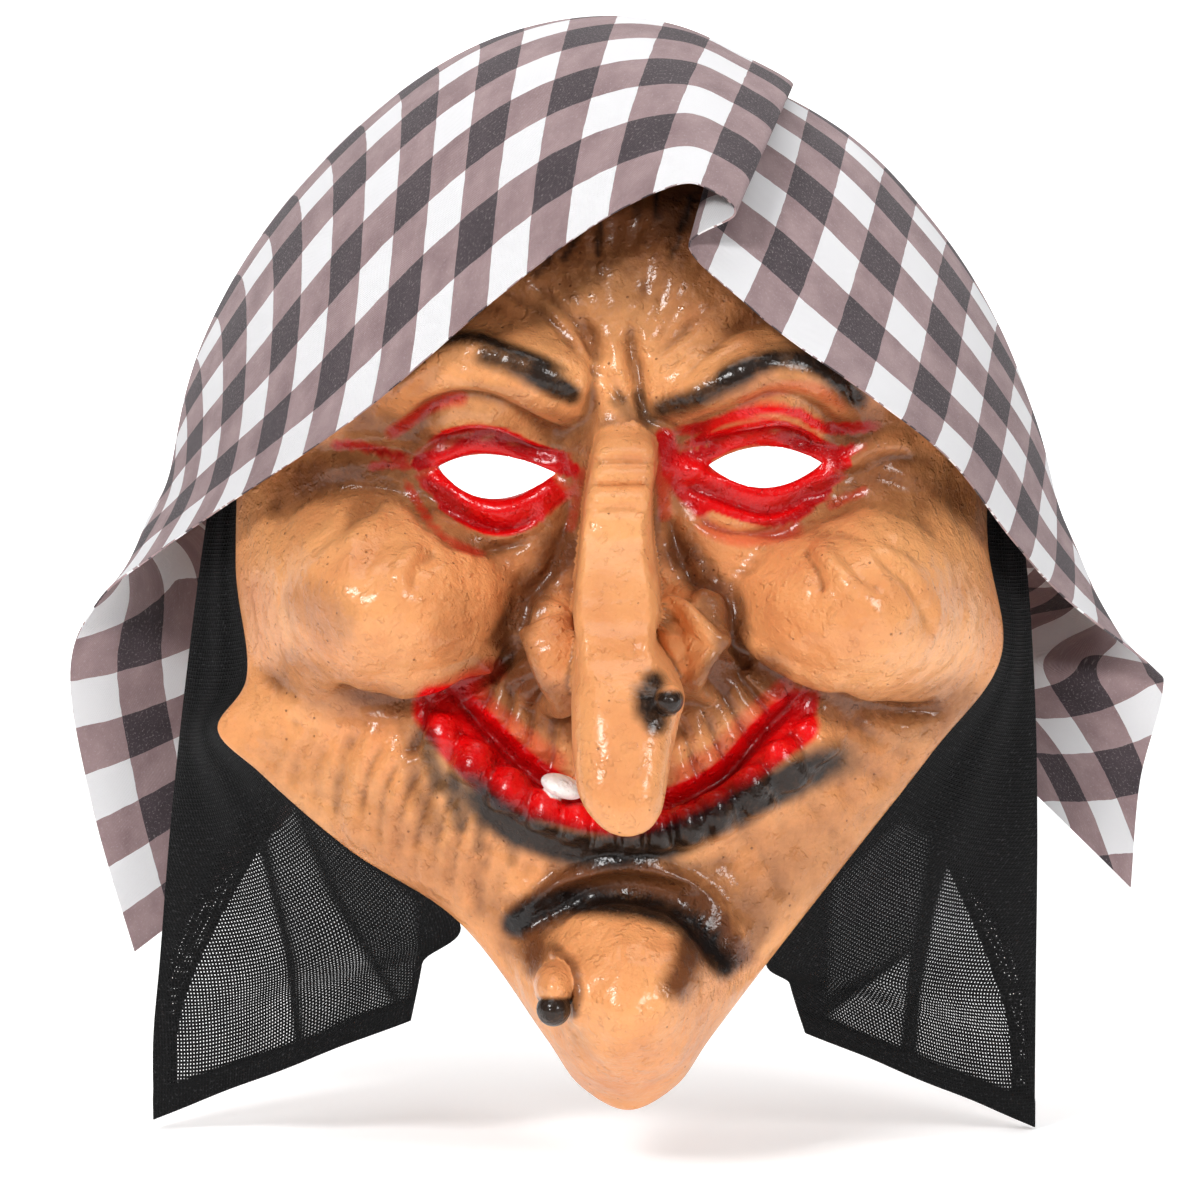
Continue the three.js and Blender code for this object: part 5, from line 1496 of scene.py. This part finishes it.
def drape_grid(drape):
    """Middle of a drape's net: rows from the top, columns from the inner edge to the outer fold and back"""
    rows = np.array(drape["rows"], float)
    position = np.linspace(0, len(rows) - 1, DRAPE_ROWS + 1)
    read = dict(zip(DRAPE_COLUMNS, column_at(rows, position).T))
    sewn = smooth(np.interp(position, np.arange(len(rows)), rows[:, DRAPE_COLUMNS.index("sewn")]))[:, None]
    free = np.stack([read["inner_x"], read["inner_y"], read["inner_z"]], axis=1)
    rim_x = rim_edge(drape["side"], read["inner_z"]) - drape["side"] * FACE_WALL / 2
    rim_y = RIM_AT_EYES + RIM_LEAN * read["inner_z"] + DRAPE_GAP
    rim = np.stack([rim_x, rim_y, read["inner_z"]], axis=1)
    inner = free + (rim - free) * sewn
    outer = np.stack([read["outer_x"], read["outer_y"], read["outer_z"]], axis=1)
    share = np.linspace(0, 1, DRAPE_FRONT + 1)
    down = np.linspace(0, 1, DRAPE_ROWS + 1)[:, None]
    front = inner[:, None] + (outer - inner)[:, None] * share[None, :, None]
    fade = np.sin(math.pi * share) * np.minimum(1, down + DRAPE_FOLDS["at_top"])
    wave = 1 - np.cos(2 * math.pi * DRAPE_FOLDS["count"] * share)
    front[..., 1] += DRAPE_FOLDS["depth"] * fade * wave
    share = np.linspace(0, 1, DRAPE_REAR + 1)[1:]
    rear = np.repeat(outer[:, None], DRAPE_REAR, axis=1)
    rear[..., 0] -= drape["side"] * read["rear"][:, None] * share**2
    rear[..., 1] += 2 * DRAPE_TURN_RADIUS * np.sqrt(share)
    slope = (inner[:, 2] - outer[:, 2]) / np.abs(inner[:, 0] - outer[:, 0])
    rear[..., 2] += (slope * read["rear"])[:, None] * share**2
    grid = np.concatenate([front, rear], axis=1)
    return grid if drape["side"] > 0 else grid[:, ::-1]


def net_material():
    """Black open net: threads both ways, with clear holes between them where it hangs in one layer"""
    material, tree, shader = new_material("open_net")
    place = node(tree, "ShaderNodeUVMap", uv_map="flat").outputs["UV"]
    split = node(tree, "ShaderNodeSeparateXYZ", {"Vector": place})
    wobble = noise_of(tree, place, "net wobble")
    slack = noise_of(tree, place, "net slack")
    width = maths(tree, "MULTIPLY", slack, NET["thread"] * MM / 2)
    threads = []
    crowns = []
    for axis in ("X", "Y"):
        moved = maths(tree, "ADD", split.outputs[axis], wobble)
        share = maths(tree, "PINGPONG", moved, NET["pitch"] * MM / 2)
        threads.append(maths(tree, "LESS_THAN", share, width))
        crowns.append(ranged(tree, share, 0, NET["thread"] * MM / 2, 1, 0))
    thread = maths(tree, "MAXIMUM", threads[0], threads[1])
    crown = maths(tree, "MULTIPLY", maths(tree, "MAXIMUM", crowns[0], crowns[1]), thread)
    shut = maths(tree, "SUBTRACT", 1, attribute(tree, "open"))
    alpha = maths(tree, "MAXIMUM", thread, shut)
    glint = noise_of(tree, place, "net glint")
    fold = maths(tree, "SUBTRACT", 1, attribute(tree, "fold"))
    lit = maths(tree, "MULTIPLY", maths(tree, "MULTIPLY", crown, glint), fold)
    feed(tree, shader, {
        "Base Color": mixed(tree, lit, screen_colour("net"), screen_colour("net glint")),
        "Alpha": alpha,
        "Roughness": 0.7,
        "Specular IOR Level": 0.2,
        "Normal": bump(tree, crown, NET_RELIEF["strength"], NET_RELIEF["depth"]),
    })
    return material


def side_drapes():
    """The two net drapes, with a wide hem at the bottom and narrow ones at the sides"""
    material = net_material()
    made = []
    for drape in DRAPES:
        grid = drape_grid(drape)
        along = run_length(grid, 1)
        down = run_length(grid, 0)
        places = seen(grid)
        hem_top = HEMS["bottom"] - (down[-1] - down)
        from_side = np.minimum(along, along[:, -1:] - along)
        hem = np.maximum(smooth(hem_top / HEMS["soft"]), smooth((HEMS["side"] - from_side) / HEMS["soft"]))
        fold = 1 - smooth((np.abs(hem_top) - HEMS["fold"]) / HEMS["soft"])
        opened = np.zeros(places.shape[:-1])
        for zone in NET_ZONES:
            opened = np.maximum(opened, zone["open"] * inside(places, zone["outline"], zone["soft"]))
        flat = np.stack([along, down], axis=2)
        thickness = DRAPE_THICKNESS * (1 + HEMS["more_layers"] * hem)
        piece = cloth_wall(f"{drape['name']}_look", grid, thickness, flat, material)
        for name, values in (("open", opened * (1 - hem)), ("fold", fold)):
            set_attribute(piece.data, name, np.tile(values.ravel(), 2))
        made.append(piece)
    return made


def backdrop(name, way, depth, glow):
    """Pale floor from the stage's middle line that bends up into a wall"""
    low = CAD_BOX[0].z / MM - FLOOR_DROP
    profile = [(distance, low) for distance in np.linspace(0, depth, FLOOR["steps"])[:-1]]
    profile += [
        (depth + FLOOR["bend"] * math.sin(turn), low + FLOOR["bend"] * (1 - math.cos(turn)))
        for turn in np.linspace(0, math.pi / 2, FLOOR["steps"])
    ]
    profile.append((depth + FLOOR["bend"], low + FLOOR["height"]))
    half = FLOOR["width"] / 2
    points = [(x, FLOOR["middle"] + way * distance, z) for distance, z in profile for x in (-half, half)]
    faces = [(2 * row, 2 * row + 1, 2 * row + 3, 2 * row + 2) for row in range(len(profile) - 1)]
    made = mesh_object(name, points, faces)
    depth_of = np.array([point[1] for point in points])
    far = smooth((depth_of - glow["starts"]) / (glow["ends"] - glow["starts"]))
    set_attribute(made.data, "glow", glow["near"] + (glow["far"] - glow["near"]) * far)
    material, tree, shader = new_material(f"pale_{name}")
    feed(tree, shader, {
        "Base Color": screen_colour("floor"),
        "Roughness": 0.9,
        "Emission Color": (1, 1, 1, 1),
        "Emission Strength": attribute(tree, "glow"),
    })
    made.data.materials.append(material)
    made.data.shade_smooth()
    return made


def stage():
    """A pale floor and wall behind the mask, and one in front that only shows in views from behind"""
    backdrop("floor", 1, FLOOR["behind"], FLOOR_GLOW)
    front = backdrop("front_floor", -1, FLOOR["in_front"], FRONT_GLOW)
    front.visible_diffuse = False
    front.visible_glossy = False
    front.visible_transmission = False
    front.visible_shadow = False


def camera():
    """The camera, at the photo's viewing angle"""
    data = bpy.data.cameras.new("camera")
    data.lens = CAMERA["lens"]
    data.sensor_width = CAMERA["sensor"]
    made = bpy.data.objects.new("camera", data)
    made.location = CAMERA_SPOT * MM
    made.rotation_euler = Vector(-CAMERA_WAY).to_track_quat("-Z", "Y").to_euler()
    bpy.context.collection.objects.link(made)
    bpy.context.scene.camera = made


def lights():
    """Soft lamps, a faint even light and plain colours"""
    world = bpy.data.worlds.new("studio")
    world.use_nodes = True
    back = world.node_tree.nodes["Background"]
    back.inputs["Color"].default_value = (1, 1, 1, 1)
    back.inputs["Strength"].default_value = WORLD_LIGHT
    bpy.context.scene.world = world
    for lamp in LAMPS:
        data = bpy.data.lights.new(lamp["name"], "AREA")
        data.size = lamp["size"] * MM
        data.energy = lamp["power"]
        made = bpy.data.objects.new(lamp["name"], data)
        place = Vector(lamp["place"]) * MM
        made.location = place
        made.rotation_euler = (Vector(lamp["aim"]) * MM - place).to_track_quat("-Z", "Y").to_euler()
        bpy.context.collection.objects.link(made)
    bpy.context.scene.view_settings.view_transform = "Standard"


camera()
lights()
stage()
face = face_shell()
scarf = head_scarf()
drapes = side_drapes()

for piece, node_name, slot_name in (
    (face, "face_shell", "painted_skin"),
    (scarf, "head_scarf", "checked_cloth"),
    (drapes[0], "drape_left", "black_net"),
    (drapes[1], "drape_right", "black_net"),
):
    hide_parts(node_name)
    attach(piece, "root")
